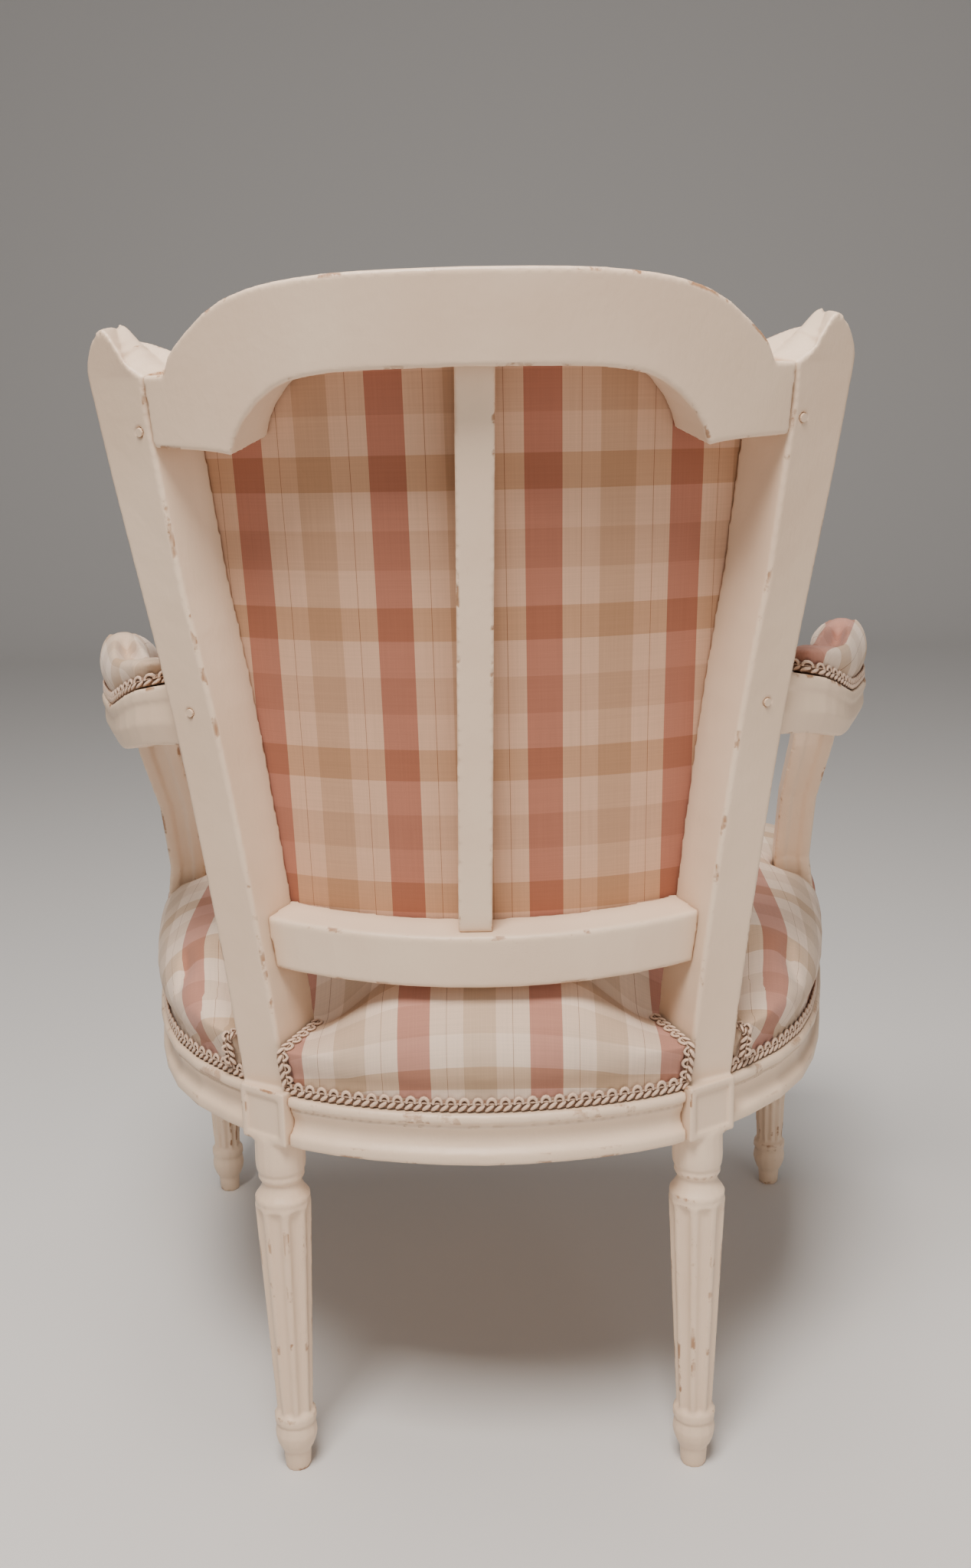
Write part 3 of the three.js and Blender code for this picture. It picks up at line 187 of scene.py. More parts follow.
def depthIn(tree, point):
    # how far outside a solid a point is, less than nothing inside it
    away = tree.find_nearest(Vector(point))[3]
    ahead = Vector((0.02, 0.03, 1.0))
    spot, walls = tree.ray_cast(Vector(point), ahead)[0], 0
    while spot is not None:
        walls += 1
        spot = tree.ray_cast(spot + ahead * hair, ahead)[0]
    return -away if walls % 2 else away


def lengthsAlong(line):
    return np.concatenate([[0], np.cumsum(np.linalg.norm(np.diff(line, axis=0), axis=1))])


def resample(points, step, closed):
    # even places along a line of points
    points = np.asarray(points, dtype=float)
    if closed:
        points = np.vstack([points, points[:1]])
    lengths = lengthsAlong(points)
    count = max(2, int(round(lengths[-1] / step)))
    places = np.linspace(0, lengths[-1], count + 1)
    if closed:
        places = places[:-1]
    return np.stack([np.interp(places, lengths, column) for column in points.T], 1)


def smoothed(points, rounds, closed):
    points = np.array(points, dtype=float)
    for turn in range(rounds):
        if closed:
            points = (np.roll(points, 1, 0) + 2 * points + np.roll(points, -1, 0)) / 4
        else:
            points[1:-1] = (points[:-2] + 2 * points[1:-1] + points[2:]) / 4
    return points


def headings(line, closed):
    # which way a line runs at each of its places
    if closed:
        return unit(np.roll(line, -1, 0) - np.roll(line, 1, 0))
    return unit(np.gradient(line, axis=0))


def nearestOn(line, points, closed=True):
    # the place on a line that is nearest to each point in plan, and how far away it is
    # what else the line's rows hold is mixed from their two ends
    best = np.full(len(points), np.inf)
    place = np.zeros((len(points), line.shape[1]))
    flat = points[:, :2]
    for start, end in zip(line, np.roll(line, -1, 0) if closed else line[1:]):
        run = end - start
        share = np.clip((flat - start[:2]) @ run[:2] / max(run[:2] @ run[:2], tiny ** 2), 0, 1)
        spot = start + share[:, None] * run
        away = np.linalg.norm(flat - spot[:, :2], axis=1)
        closer = away < best
        best[closer] = away[closer]
        place[closer] = spot[closer]
    return place, best


# node material helpers

def grey(value):
    return (value, value, value, 1.0)


class Nodes:
    # a short way to add and join shader nodes
    def __init__(self, name):
        self.material = bpy.data.materials.new(name)
        self.material.use_nodes = True
        self.tree = self.material.node_tree
        self.shader = self.tree.nodes["Principled BSDF"]

    def put(self, node, key, value):
        socket = node.inputs[key]
        if isinstance(value, bpy.types.NodeSocket):
            self.tree.links.new(value, socket)
        else:
            socket.default_value = value

    def add(self, kind, **values):
        node = self.tree.nodes.new("ShaderNode" + kind)
        for key, value in values.items():
            if hasattr(node, key):
                setattr(node, key, value)
            else:
                self.put(node, key, value)
        return node

    def objectPlace(self):
        return self.add("TexCoord").outputs["Object"]

    def math(self, operation, *values):
        node = self.add("Math", operation=operation)
        for index, value in enumerate(values):
            self.put(node, index, value)
        return node.outputs[0]

    def mix(self, blendType, amount, first, second):
        node = self.add("Mix", data_type="RGBA", blend_type=blendType)
        for index, value in ((0, amount), (6, first), (7, second)):
            self.put(node, index, value)
        return node.outputs[2]

    def ramp(self, factor, stops, interpolation="LINEAR"):
        node = self.add("ValToRGB")
        band = node.color_ramp
        band.interpolation = interpolation
        while len(band.elements) > 1:
            band.elements.remove(band.elements[-1])
        band.elements[0].position, band.elements[0].color = stops[0]
        for position, colour in stops[1:]:
            band.elements.new(position).color = colour
        self.put(node, 0, factor)
        return node.outputs[0]

    def fade(self, factor, start, end, first=0.0, last=1.0):
        return self.ramp(factor, [(start, grey(first)), (end, grey(last))])

    def stretched(self, place, scale, turn=0.0):
        return self.add("Mapping", Vector=place, Scale=scale, Rotation=(0.0, 0.0, turn)).outputs[0]

    def noise(self, place, scale, detail=3.0, roughness=0.5, distortion=0.0):
        values = {"Scale": scale, "Detail": detail, "Roughness": roughness, "Distortion": distortion}
        return self.add("TexNoise", Vector=place, **values).outputs[0]

    def bump(self, height, strength, distance):
        return self.add("Bump", Height=height, Strength=strength, Distance=distance).outputs[0]

    def surface(self, **values):
        # joins the shader's sockets, or sets them where a value is the same all over
        for key, value in values.items():
            self.put(self.shader, key.replace("_", " "), value)
        return self.material


# cream paint

paintValues = dict(
    cream=(0.80, 0.595, 0.43, 1.0),
    lightCream=(0.87, 0.67, 0.495, 1.0),
    grime=(0.46, 0.31, 0.19, 1.0),
    bareWood=(0.33, 0.15, 0.06, 1.0),
    cloudScale=9.0,
    clouds=(0.35, 0.7),
    hollowReach=14 * mm,
    grimeSpread=0.1,
    grimeMost=0.34,
    wornTurn=(0.055, 0.10),
    wornScale=38.0,
    wornPatches=(0.555, 0.60),
    wornShare=0.85,
    crackStretch=(9.0, 9.0, 26.0),
    crackWander=30.0,
    crackWidth=0.006,
    crackScale=7.0,
    crackPatches=(0.58, 0.66),
    crackShare=0.55,
    gloss=(0.2, 0.8, 0.36, 0.52),
    brushStretch=(1.0, 1.0, 0.12),
    brushScale=420.0,
    brushShare=0.35,
    pitScale=160.0,
    chipDepth=0.8,
    relief=(0.22, 1.2 * mm),
)


def creamPaint():
    values = paintValues
    nodes = Nodes("creamPaint")
    place = nodes.objectPlace()
    cloudy = nodes.noise(place, values["cloudScale"], 4.0)
    clouds = nodes.fade(cloudy, *values["clouds"])
    body = nodes.mix("MIX", clouds, values["cream"], values["lightCream"])
    # grime settles in the hollows of the carving and the flutes
    hollow = nodes.add("AmbientOcclusion", samples=6, inside=False, Distance=values["hollowReach"])
    shut = nodes.math("SUBTRACT", 1.0, hollow.outputs["AO"])
    dirt = nodes.math("MULTIPLY", shut, nodes.math("ADD", cloudy, values["grimeSpread"]))
    body = nodes.mix("MIX", nodes.math("MINIMUM", dirt, values["grimeMost"]), body, values["grime"])
    # worn arrises, where the paint has chipped to the wood
    arris = nodes.add("Attribute", attribute_name="arris").outputs["Fac"]
    patches = nodes.noise(place, values["wornScale"], 5.0, 0.62)
    patches = nodes.fade(patches, *values["wornPatches"])
    worn = nodes.math("MULTIPLY", nodes.fade(arris, *values["wornTurn"]), patches)
    # hairline cracks across the broad faces
    wander = nodes.add("TexNoise", Scale=values["crackWander"], Detail=3.0).outputs[1]
    bent = nodes.add("VectorMath", operation="ADD")
    nodes.put(bent, 0, nodes.stretched(place, values["crackStretch"]))
    nodes.put(bent, 1, wander)
    cells = nodes.add("TexVoronoi", feature="DISTANCE_TO_EDGE", Scale=1.0, Vector=bent.outputs[0])
    crack = nodes.fade(cells.outputs[0], 0.0, values["crackWidth"], 1.0, 0.0)
    patches = nodes.fade(nodes.noise(place, values["crackScale"], 2.0), *values["crackPatches"])
    crack = nodes.math("MULTIPLY", crack, patches)
    body = nodes.mix("MIX", nodes.math("MULTIPLY", crack, values["crackShare"]), body, values["grime"])
    body = nodes.mix("MIX", nodes.math("MULTIPLY", worn, values["wornShare"]), body, values["bareWood"])
    strokes = nodes.noise(nodes.stretched(place, values["brushStretch"]), values["brushScale"], 2.0)
    strokes = nodes.math("MULTIPLY", strokes, values["brushShare"])
    pits = nodes.math("MULTIPLY", nodes.noise(place, values["pitScale"], 3.0), 1 - values["brushShare"])
    chips = nodes.math("MULTIPLY", worn, values["chipDepth"])
    relief = nodes.math("SUBTRACT", nodes.math("ADD", strokes, pits), chips)
    return nodes.surface(
        Base_Color=body, Roughness=nodes.fade(cloudy, *values["gloss"]),
        Normal=nodes.bump(relief, *values["relief"]),
    )


paint = creamPaint()
print("stage: paint ready")


# plaid cloth, in rows of stripes with their widths in mm

plaidValues = dict(
    cream=(0.87, 0.67, 0.52, 1.0),
    red=(0.56, 0.27, 0.20, 1.0),
    olive=(0.70, 0.515, 0.37, 1.0),
    line=(0.42, 0.24, 0.16, 1.0),
    darkWeft=(0.79, 0.71, 0.61, 1.0),
    middleWeft=(0.88, 0.85, 0.82, 1.0),
    plainWeft=grey(1.0),
    warpRow=((12.2, "red"), (12.15, "cream"), (0.7, "line"), (12.15, "cream"), (24.4, "olive"),
                (12.15, "cream"), (0.7, "line"), (12.15, "cream"), (12.2, "red")),
    weftRow=((12.7, "middleWeft"), (24.5, "plainWeft"), (22.6, "darkWeft"), (24.5, "plainWeft"),
                (12.7, "middleWeft")),
    wholeRepeats=100,
    slubStretches=((900.0, 14.0, 1.0), (14.0, 900.0, 1.0)),
    slubShade=(0.3, 0.7, 0.93, 1.0),
    threads=1750.0,
    relief=(0.25, 0.3 * mm),
)


def plaidCloth(name, plaid, aged=grey(1.0)):
    # stripes across and bands along, on the cloth's own flat places in metres
    # plaid is the repeat and the middles of one olive stripe and one dark band
    # the last argument multiplies the whole colour as painted shade, for cloth that lies in shade; white
    # leaves the colour as it is
    values = plaidValues
    repeat, oliveMiddle, darkMiddle = plaid
    nodes = Nodes(name)
    flat = nodes.add("UVMap", uv_map="clothMap").outputs[0]
    across, along, level = nodes.add("SeparateXYZ", Vector=flat).outputs

    def banded(place, middle, row):
        # the middle of the row falls on the middle of the stripe, and no place is below nothing
        start = values["wholeRepeats"] + 0.5 - middle / repeat
        shifted = nodes.math("ADD", nodes.math("DIVIDE", place, repeat), start)
        total = sum(width for width, colour in row)
        stops, at = [], 0.0
        for width, colour in row:
            stops.append((at / total, values[colour]))
            at += width
        return nodes.ramp(nodes.math("FRACT", shifted), stops, "CONSTANT")

    warp = banded(across, oliveMiddle, values["warpRow"])
    weft = banded(along, darkMiddle, values["weftRow"])
    colour = nodes.mix("MULTIPLY", 1.0, warp, weft)
    # slubs: threads a little lighter or darker than their neighbours, one set each way
    for stretch in values["slubStretches"]:
        slub = nodes.noise(nodes.stretched(flat, stretch), 1.0, 2.0)
        colour = nodes.mix("MULTIPLY", 1.0, colour, nodes.fade(slub, *values["slubShade"]))
    # painted shade: the whole cloth darkened and warmed by one colour
    colour = nodes.mix("MULTIPLY", 1.0, colour, aged)
    turn = values["threads"] * 2 * math.pi
    waves = [nodes.math("SINE", nodes.math("MULTIPLY", place, turn)) for place in (across, along)]
    return nodes.surface(
        Base_Color=colour, Roughness=0.78, Sheen_Weight=0.18, Specular_IOR_Level=0.3,
        Normal=nodes.bump(nodes.math("MULTIPLY", *waves), *values["relief"]),
    )


# frame of the chair

frameValues = dict(
    voxel=1.7 * mm,
    fineVoxel=1.45 * mm,
    smoothing=2,
    fine=("crest_rail", "rear_post_left", "rear_post_right"),
    arrisRounds=2,
    earPeak=(227 * mm, 165 * mm, 858 * mm),
    earFoot=(186 * mm, 206 * mm, 829 * mm),
    earTop=(826 * mm, 830 * mm),
    ribs=15.0,
    ribDepth=3.4 * mm,
    ribSink=0.55,
    ribFacing=(0.45, 0.75),
    fanSetBack=12 * mm,
    fanStart=(8 * mm, 18 * mm),
    knobRadius=6 * mm,
    knobHeight=4 * mm,
)


def markArrises(piece):
    # how sharply the surface turns outwards at each point, for the wear of the paint
    points, normals, ends = getPoints(piece), getNormals(piece), edgeEnds(piece)
    run = unit(points[ends[:, 1]] - points[ends[:, 0]])
    count = np.maximum(np.bincount(ends.ravel(), minlength=len(points)), 1)
    turn = np.zeros(len(points))
    for column, way in ((0, -1), (1, 1)):
        outward = way * (run * normals[ends[:, column]]).sum(1)
        turn += np.bincount(ends[:, column], outward, minlength=len(points))
    turn /= count
    for again in range(frameValues["arrisRounds"]):
        turn = (turn + neighbourSums(ends, turn) / count) / 2
    piece.data.attributes.new("arris", "FLOAT", "POINT").data.foreach_set("value", turn)


def carveEar(piece, side):
    # ribs on the ear's sloping top, fanned out from a small knob at its front
    values = frameValues
    points, normals = getPoints(piece), getNormals(piece)
    turned = points * (side, 1, 1)
    peak = np.array(values["earPeak"])
    run = (np.array(values["earFoot"]) - peak)[:2]
    fromCentre = turned[:, :2] - peak[:2] + run / np.linalg.norm(run) * values["fanSetBack"]
    angle = np.arctan2(fromCentre[:, 1], -fromCentre[:, 0])
    low, high = values["ribFacing"]
    ribbed = between(normals[:, 2], low, high) * between(normals[:, 0] * side, high, low)
    ribbed *= between(turned[:, 2], *values["earTop"])
    ribbed *= between(np.linalg.norm(fromCentre, axis=1), *values["fanStart"])
    lift = (np.abs(np.sin(angle * values["ribs"] / 2)) - values["ribSink"]) * values["ribDepth"] * ribbed
    knob = np.exp(-(np.linalg.norm(turned - peak, axis=1) / values["knobRadius"]) ** 2)
    lift += knob * values["knobHeight"] * np.clip(normals[:, 2], 0, 1)
    setPoints(piece, points + normals * lift[:, None])


def camelName(nodeName):
    first, *rest = nodeName.split("_")
    return first + "".join(word.capitalize() for word in rest)


def woodPiece(nodeName):
    # the solid with its arrises softened as thick old paint softens them
    values = frameValues
    piece = nodeCopy(camelName(nodeName), nodeName)
    voxel = values["fineVoxel" if nodeName in values["fine"] else "voxel"]
    modify(piece, "paintSkin", "REMESH", mode="VOXEL", voxel_size=voxel, use_smooth_shade=True)
    modify(piece, "ease", "SMOOTH", factor=0.5, iterations=values["smoothing"])
    applyAll(piece)
    if nodeName.startswith("rear_post"):
        carveEar(piece, 1 if nodeName.endswith("left") else -1)
    markArrises(piece)
    bpy.ops.object.shade_smooth()
    finishPiece(piece, paint, "painted_wood", nodeName)


def bothSides(*parts):
    return [part + side for part in parts for side in ("_left", "_right")]


for nodeName in ["crest_rail", "back_lower_rail", "back_batten", "rear_seat_rail", "front_seat_rail"]:
    woodPiece(nodeName)
for nodeName in bothSides("rear_post", "front_leg", "side_seat_rail", "arm", "arm_support"):
    woodPiece(nodeName)
for nodeName in bothSides("crest_peg", "arm_peg"):
    dress(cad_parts[nodeName], paint)
print("stage: painted frame ready")


# the chair's own curves, which the cloth and the braid follow

curveValues = dict(
    shift=6.8197 * mm,
    backRadius=360 * mm,
    backFoot=332 * mm,
    backHeight=542 * mm,
    rearFace=212.825 * mm,
    rake=0.067,
    curl=0.098,
    usualDeep=45 * mm,
    widest=0.9,
    searchTurns=12,
    railTop=322 * mm,
    dieTop=325 * mm,
    faceLine=319.27 * mm,
    faceBand=0.3 * mm,
    cornerRadius=20 * mm,
    cornerX=291 * mm,
    cornerY=-265.3 * mm,
    frontEndX=270 * mm,
    seatMiddle=(0.0, -30 * mm),
    outlineStep=5 * mm,
    stileFootX=180.878 * mm,
    stileSplay=64 * mm,
    stileWidth=34.5 * mm,
    stileRises=(-0.0179, 0.0, 0.1, 0.2, 0.3),
    stileSpreads=(-0.016, 0.0, 0.078, 0.169, 0.266),
)
postNodes = bothSides("rear_post", "arm_support")
railNodes = ["rear_seat_rail"] + bothSides("side_seat_rail") + ["front_seat_rail"]


def backLean(rise):
    values = curveValues
    return np.arctan(values["rake"] + 2 * values["curl"] * rise / values["backHeight"])


def backRear(across, rise):
    values = curveValues
    run = rise * (values["rake"] + values["curl"] * rise / values["backHeight"])
    bow = values["backRadius"] * (1 - np.sqrt(1 - (across / values["backRadius"]) ** 2))
    return values["rearFace"] + values["shift"] + run - bow


def onBack(across, deep, height):
    # a place on the bowed and raked back, a depth in from its rear face
    rise = height - curveValues["backFoot"]
    lean = backLean(rise)
    sine = across / curveValues["backRadius"]
    level = deep * np.cos(lean)
    return np.stack([
        across - level * sine,
        backRear(across, rise) - level * np.sqrt(1 - sine ** 2),
        height + deep * np.sin(lean),
    ], -1)


def backPlaces(points):
    # the same the other way round: across, depth and height of points in space
    values = curveValues
    radius = values["backRadius"]
    deep = np.full(len(points), values["usualDeep"])
    height = points[:, 2].copy()
    for turn in range(values["searchTurns"]):
        lean = backLean(height - values["backFoot"])
        across = points[:, 0] / (1 - deep * np.cos(lean) / radius)
        across = np.clip(across, -values["widest"] * radius, values["widest"] * radius)
        facing = np.sqrt(1 - (across / radius) ** 2)
        rear = backRear(across, height - values["backFoot"])
        deep = (rear - points[:, 1]) / (np.cos(lean) * facing)
        height = points[:, 2] - deep * np.sin(lean)
    return across, deep, height


def seatOutline():
    # the outer face line of the seat rails, with the pad's own front corners
    values = curveValues
    found = []
    for nodeName in railNodes:
        for x, y, z in getPoints(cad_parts[nodeName]):
            onFront = y < values["cornerY"] and abs(x) < values["frontEndX"]
            if abs(z - values["faceLine"]) < values["faceBand"] and (y > values["cornerY"] or onFront):
                found.append((x, y))
    for turn in range(7):
        angle = turn * math.pi / 12
        x = values["cornerX"] + values["cornerRadius"] * math.cos(angle)
        y = values["cornerY"] - values["cornerRadius"] * math.sin(angle)
        found += [(x, y), (-x, y)]
    found = np.unique(np.round(found, 5), axis=0)
    fromMiddle = found - values["seatMiddle"]
    order = np.argsort(np.arctan2(fromMiddle[:, 1], fromMiddle[:, 0]))
    return smoothed(resample(found[order], values["outlineStep"], True), 2, True)


seatLine = seatOutline()
seatAlong = headings(seatLine, True)
seatOutward = np.stack([seatAlong[:, 1], -seatAlong[:, 0]], 1)
print("stage: seat outline of", len(seatLine), "places")


# cushions: a solid's copy, drawn in, skinned, swollen by cloth under pressure and eased

cushionValues = dict(
    frames=20,
    gap=0.5 * mm,
    evening=6,
    cloth={"quality": 5, "mass": 0.3, "tension_stiffness": 15, "compression_stiffness": 15,
              "use_pressure": True, "uniform_pressure_force": 4.0},
)


def stuffed(pieceName, nodeName, values, neighbours):
    # the values are the cover's own
    piece = nodeCopy(pieceName, nodeName)
    modify(piece, "skin", "REMESH", mode="VOXEL", voxel_size=values["voxel"])
    modify(piece, "ease", "SMOOTH", factor=0.5, iterations=values["smoothing"])
    modify(piece, "drawIn", "DISPLACE", mid_level=0.0, strength=-values["drawIn"])
    applyAll(piece)
    start, outward, ends = getPoints(piece), getNormals(piece), edgeEnds(piece)
    settings = piece.modifiers.new("cloth", "CLOTH").settings
    for key, value in cushionValues["cloth"].items():
        setattr(settings, key, value)
    settings.effector_weights.gravity = 0
    for frameNumber in range(1, cushionValues["frames"] + 1):
        bpy.context.scene.frame_set(frameNumber)
    applyAll(piece)
    bpy.context.scene.frame_set(1)
    moved = ((getPoints(piece) - start) * outward).sum(1)
    room = np.maximum(distances(solidTree(neighbours), start) - cushionValues["gap"], 0)
    allowed = np.minimum(np.minimum(room, values["swell"]), np.maximum(moved, 0))
    count = np.bincount(ends.ravel(), minlength=len(start)) + 1
    for turn in range(cushionValues["evening"]):
        allowed = np.minimum((allowed + neighbourSums(ends, allowed)) / count, room)
    setPoints(piece, start + outward * allowed[:, None])
    return piece


def easePiece(piece, rounds):
    # rounds off what the cap has left, then one subdivision
    modify(piece, "ease", "SMOOTH", factor=0.5, iterations=rounds)
    modify(piece, "finer", "SUBSURF", levels=1, render_levels=1)
    applyAll(piece)
    bpy.ops.object.shade_smooth()


def layCloth(piece, places):
    # writes each point's place on the flat cloth, in metres, into a UV map
    layer = piece.data.uv_layers.get("clothMap") or piece.data.uv_layers.new(name="clothMap")
    corner = np.zeros(len(piece.data.loops), dtype=np.int32)
    piece.data.loops.foreach_get("vertex_index", corner)
    layer.data.foreach_set("uv", np.ascontiguousarray(places[corner], dtype=np.float32).ravel())
    piece.data.uv_layers.active = layer


# seat cover

seatCoverValues = dict(
    voxel=5.5 * mm,
    smoothing=6,
    drawIn=2.6 * mm,
    swell=4.6 * mm,
    easing=3,
    plaid=(92.5 * mm, 2.9 * mm, 80 * mm),
    core=0.74,
    coreMiddle=(0.0, -45 * mm),
    dropHeights=(324 * mm, 334.7 * mm, 343.2 * mm, 357 * mm, 370.8 * mm, 385.6 * mm, 397.3 * mm, 410 * mm),
    dropLengths=(73.1 * mm, 62.4 * mm, 43.5 * mm, 27 * mm, 14.7 * mm, 5.6 * mm, 1.4 * mm, 0.0),
    topInset=(60 * mm, 20 * mm),
    turn=((0.60, 0.0), (0.95, 0.5)),
    wallHeights=(346 * mm, 336 * mm),
    wallReach=(34 * mm, 17 * mm),
    wallClear=(0.4 * mm, 3.5 * mm),
    wallInset=6.3 * mm,
    stileMiddle=163.6 * mm,
    stileSlope=0.092,
    shoulder=(113 * mm, 18 * mm),
    shoulderHeight=357 * mm,
    shoulderRise=0.04,
    shoulderDeep=(128 * mm, 53 * mm),
)


def settleSeat(piece):
    # the wall stands behind the braid, and the top slopes down to the posts
    values = seatCoverValues
    points = getPoints(piece)
    place, inset = nearestOn(seatLine[::2], points[:, :2])
    share = between(distances(solidTree(postNodes), points), *values["wallClear"])
    share *= between(points[:, 2], *values["wallHeights"]) * between(inset, *values["wallReach"])
    target = place + unit(points[:, :2] - place) * values["wallInset"]
    points[:, :2] += (target - points[:, :2]) * share[:, None]
    for side in (1, -1):
        across, deep, height = backPlaces(points * (side, 1, 1))
        stile = values["stileMiddle"] + values["stileSlope"] * (height - curveValues["backFoot"])
        share = eased(between(np.abs(across - stile), *values["shoulder"]))
        share *= eased(between(deep, *values["shoulderDeep"]))
        over = values["shoulderHeight"] + np.maximum(deep, 0) * values["shoulderRise"]
        points[:, 2] -= np.maximum(points[:, 2] - over, 0) * share
    setPoints(piece, points)


def seatClothPlaces(points):
    # flat on top; over the sides the cloth falls straight out from an inner line
    values = seatCoverValues
    flat = points[:, :2]
    middle = np.array(values["coreMiddle"])
    core = middle + (seatLine[::3] - middle) * values["core"]
    place = nearestOn(core, flat)[0]
    edge, inset = nearestOn(seatLine[::2], flat)
    outward = unit(between(np.abs(unit(edge - flat)), *values["turn"])) * np.sign(flat - middle)
    extra = np.interp(points[:, 2], values["dropHeights"], values["dropLengths"])
    extra *= between(inset, *values["topInset"])
    extra[np.linalg.norm(flat - middle, axis=1) < np.linalg.norm(place - middle, axis=1)] = 0
    return flat + outward * extra[:, None]


seatCover = stuffed("seatCover", "seat_pad", seatCoverValues, postNodes + railNodes)
settleSeat(seatCover)
easePiece(seatCover, seatCoverValues["easing"])
layCloth(seatCover, seatClothPlaces(getPoints(seatCover)))
finishPiece(seatCover, plaidCloth("seatPlaid", seatCoverValues["plaid"]), "plaid_cloth", "seat_pad")
print("stage: seat cover ready")


# inside back cover and the cloth seen from behind

backCoverValues = dict(
    voxel=4.6 * mm,
    smoothing=6,
    drawIn=2.2 * mm,
    swell=5.0 * mm,
    easing=2,
    plaid=(97.5 * mm, 3.2 * mm, 325.5 * mm),
    coverDeep=46.9 * mm,
    liningDeep=45.3 * mm,
    liningThick=0.7 * mm,
    cuts=(5, 1),
    belly=50 * mm,
    bellyFullness=0.7,
    sag=0.56 * mm,
    ripple=0.32 * mm,
    rippleAcross=61.0,
    rippleUp=43.0,
    rippleStart=0.8,
    rippleBend=(1.3, 17.0),
    flat=(0.400, 0.420),
    area=0.135,
    # painted shade for the lining: the same plaid as the seat's, darker and warmer because the lining lies
    # recessed behind the frame in the shade of the crest
    aged=(0.85, 0.68, 0.58, 1.0),
)


def backClothPlaces(points):
    values = curveValues
    across, deep, height = backPlaces(points)
    rise = height - values["backFoot"]
    up = rise * (1 + 0.5 * (values["rake"] + values["curl"] * rise / values["backHeight"]) ** 2)
    flatRadius = values["backRadius"] - backCoverValues["liningDeep"]
    return np.stack([flatRadius * np.arcsin(across / values["backRadius"]), up], 1)


def keepBefore(piece, least):
    # the stuffing stays in front of the lining
    points = getPoints(piece)
    across, deep, height = backPlaces(points)
    behind = deep < least
    points[behind] = onBack(across, np.maximum(deep, least), height)[behind]
    setPoints(piece, points)


frameNodes = ["crest_rail", "back_lower_rail"] + bothSides("rear_post")
backCover = stuffed("backCover", "back_pad", backCoverValues, frameNodes)
easePiece(backCover, backCoverValues["easing"])
keepBefore(backCover, backCoverValues["coverDeep"])
layCloth(backCover, backClothPlaces(getPoints(backCover)))
finishPiece(backCover, plaidCloth("backPlaid", backCoverValues["plaid"]), "plaid_cloth", "back_pad")


def stretchedLining():
    # the rear face of the lining's solid, cut finer and laid on the back's curve with a little slack
    values = backCoverValues
    piece = nodeCopy("backLining", "back_lining")
    editMode("DESELECT")
    objectMode()
    shallow = backPlaces(getPoints(piece))[1] < values["liningDeep"]
    for face in piece.data.polygons:
        face.select = not all(shallow[index] for index in face.vertices)
    editMode()
    bpy.ops.mesh.select_mode(type="FACE")
    bpy.ops.mesh.delete(type="FACE")
    bpy.ops.mesh.select_all(action="SELECT")
    for cuts in values["cuts"]:
        bpy.ops.mesh.subdivide(number_cuts=cuts)
    objectMode()
    points = getPoints(piece)
    across, deep, height = backPlaces(points)
    sides = [pair for face in piece.data.polygons for pair in face.edge_keys]
    edges, counts = np.unique(sides, axis=0, return_counts=True)
    rim = points[np.unique(edges[counts == 1])]
    inward = np.array([np.min(np.linalg.norm(rim - point, axis=1)) for point in points])
    bend, bendScale = values["rippleBend"]
    wave = np.sin(across * values["rippleAcross"] + bend * np.sin(height * bendScale))
    wave *= np.sin(height * values["rippleUp"] + values["rippleStart"])
    slack = between(inward, 0, values["belly"]) ** values["bellyFullness"]
    slack *= values["sag"] + values["ripple"] * wave
    setPoints(piece, onBack(across, values["liningDeep"] - slack, height))
    layCloth(piece, backClothPlaces(getPoints(piece)))
    modify(piece, "thick", "SOLIDIFY", thickness=values["liningThick"], offset=-1)
    applyAll(piece)
    bpy.ops.object.shade_smooth()
    return piece


backLining = stretchedLining()
# the lining's plaid with painted shade
shadedLiningPlaid = plaidCloth("shadedLiningPlaid", backCoverValues["plaid"], backCoverValues["aged"])
finishPiece(backLining, shadedLiningPlaid, "plaid_cloth", "back_lining")
print("stage: back covers ready")


# arm covers

armCoverValues = dict(
    voxel=3.2 * mm,
    smoothing=12,
    drawIn=0.6 * mm,
    swell=2.0 * mm,
    easing=4,
    plaids={"left": (97.5 * mm, 4 * mm, 20 * mm), "right": (97.5 * mm, 50 * mm, 20 * mm)},
    slices=14,
    spineStep=4 * mm,
    spineRounds=6,
    endShare=0.08,
    turnRoom=14 * mm,
)


def armSpine(points):
    # the middle line of an arm cover in plan, with the height of its top
    values = armCoverValues
    flat = points[:, :2]
    middle = flat.mean(0)
    along = np.linalg.svd(flat - middle, full_matrices=False)[2][0]
    along *= -np.sign(along[1])
    side = np.array([-along[1], along[0]])
    far = (flat - middle) @ along
    wide = (flat - middle) @ side
    edges = np.linspace(far.min(), far.max(), values["slices"] + 1)
    line = []
    for low, high in zip(edges[:-1], edges[1:]):
        here = (far >= low) & (far <= high)
        centre = (wide[here].min() + wide[here].max()) / 2
        spot = middle + along * (low + high) / 2 + side * centre
        line.append((spot[0], spot[1], points[here, 2].max()))
    return smoothed(resample(line, values["spineStep"], False), values["spineRounds"], False)


def armClothPlaces(points):
    # along the arm and out from its middle line, down over the sides and the ends
    line = armSpine(points)
    cut = int(len(line) * armCoverValues["endShare"])
    line = line[cut:-cut]
    rows = np.column_stack([line, lengthsAlong(line[:, :2]), headings(line[:, :2], False)])
    place, away = nearestOn(rows, points, False)
    heading, along = unit(points[:, :2] - place[:, :2]), unit(place[:, 4:])
    drop = np.maximum(place[:, 2] - points[:, 2], 0)
    reach = away + drop ** 2 / (drop + armCoverValues["turnRoom"])
    forward = (heading * along).sum(1)
    sideways = heading[:, 1] * along[:, 0] - heading[:, 0] * along[:, 1]
    return np.stack([sideways * reach, place[:, 3] + forward * reach], 1)


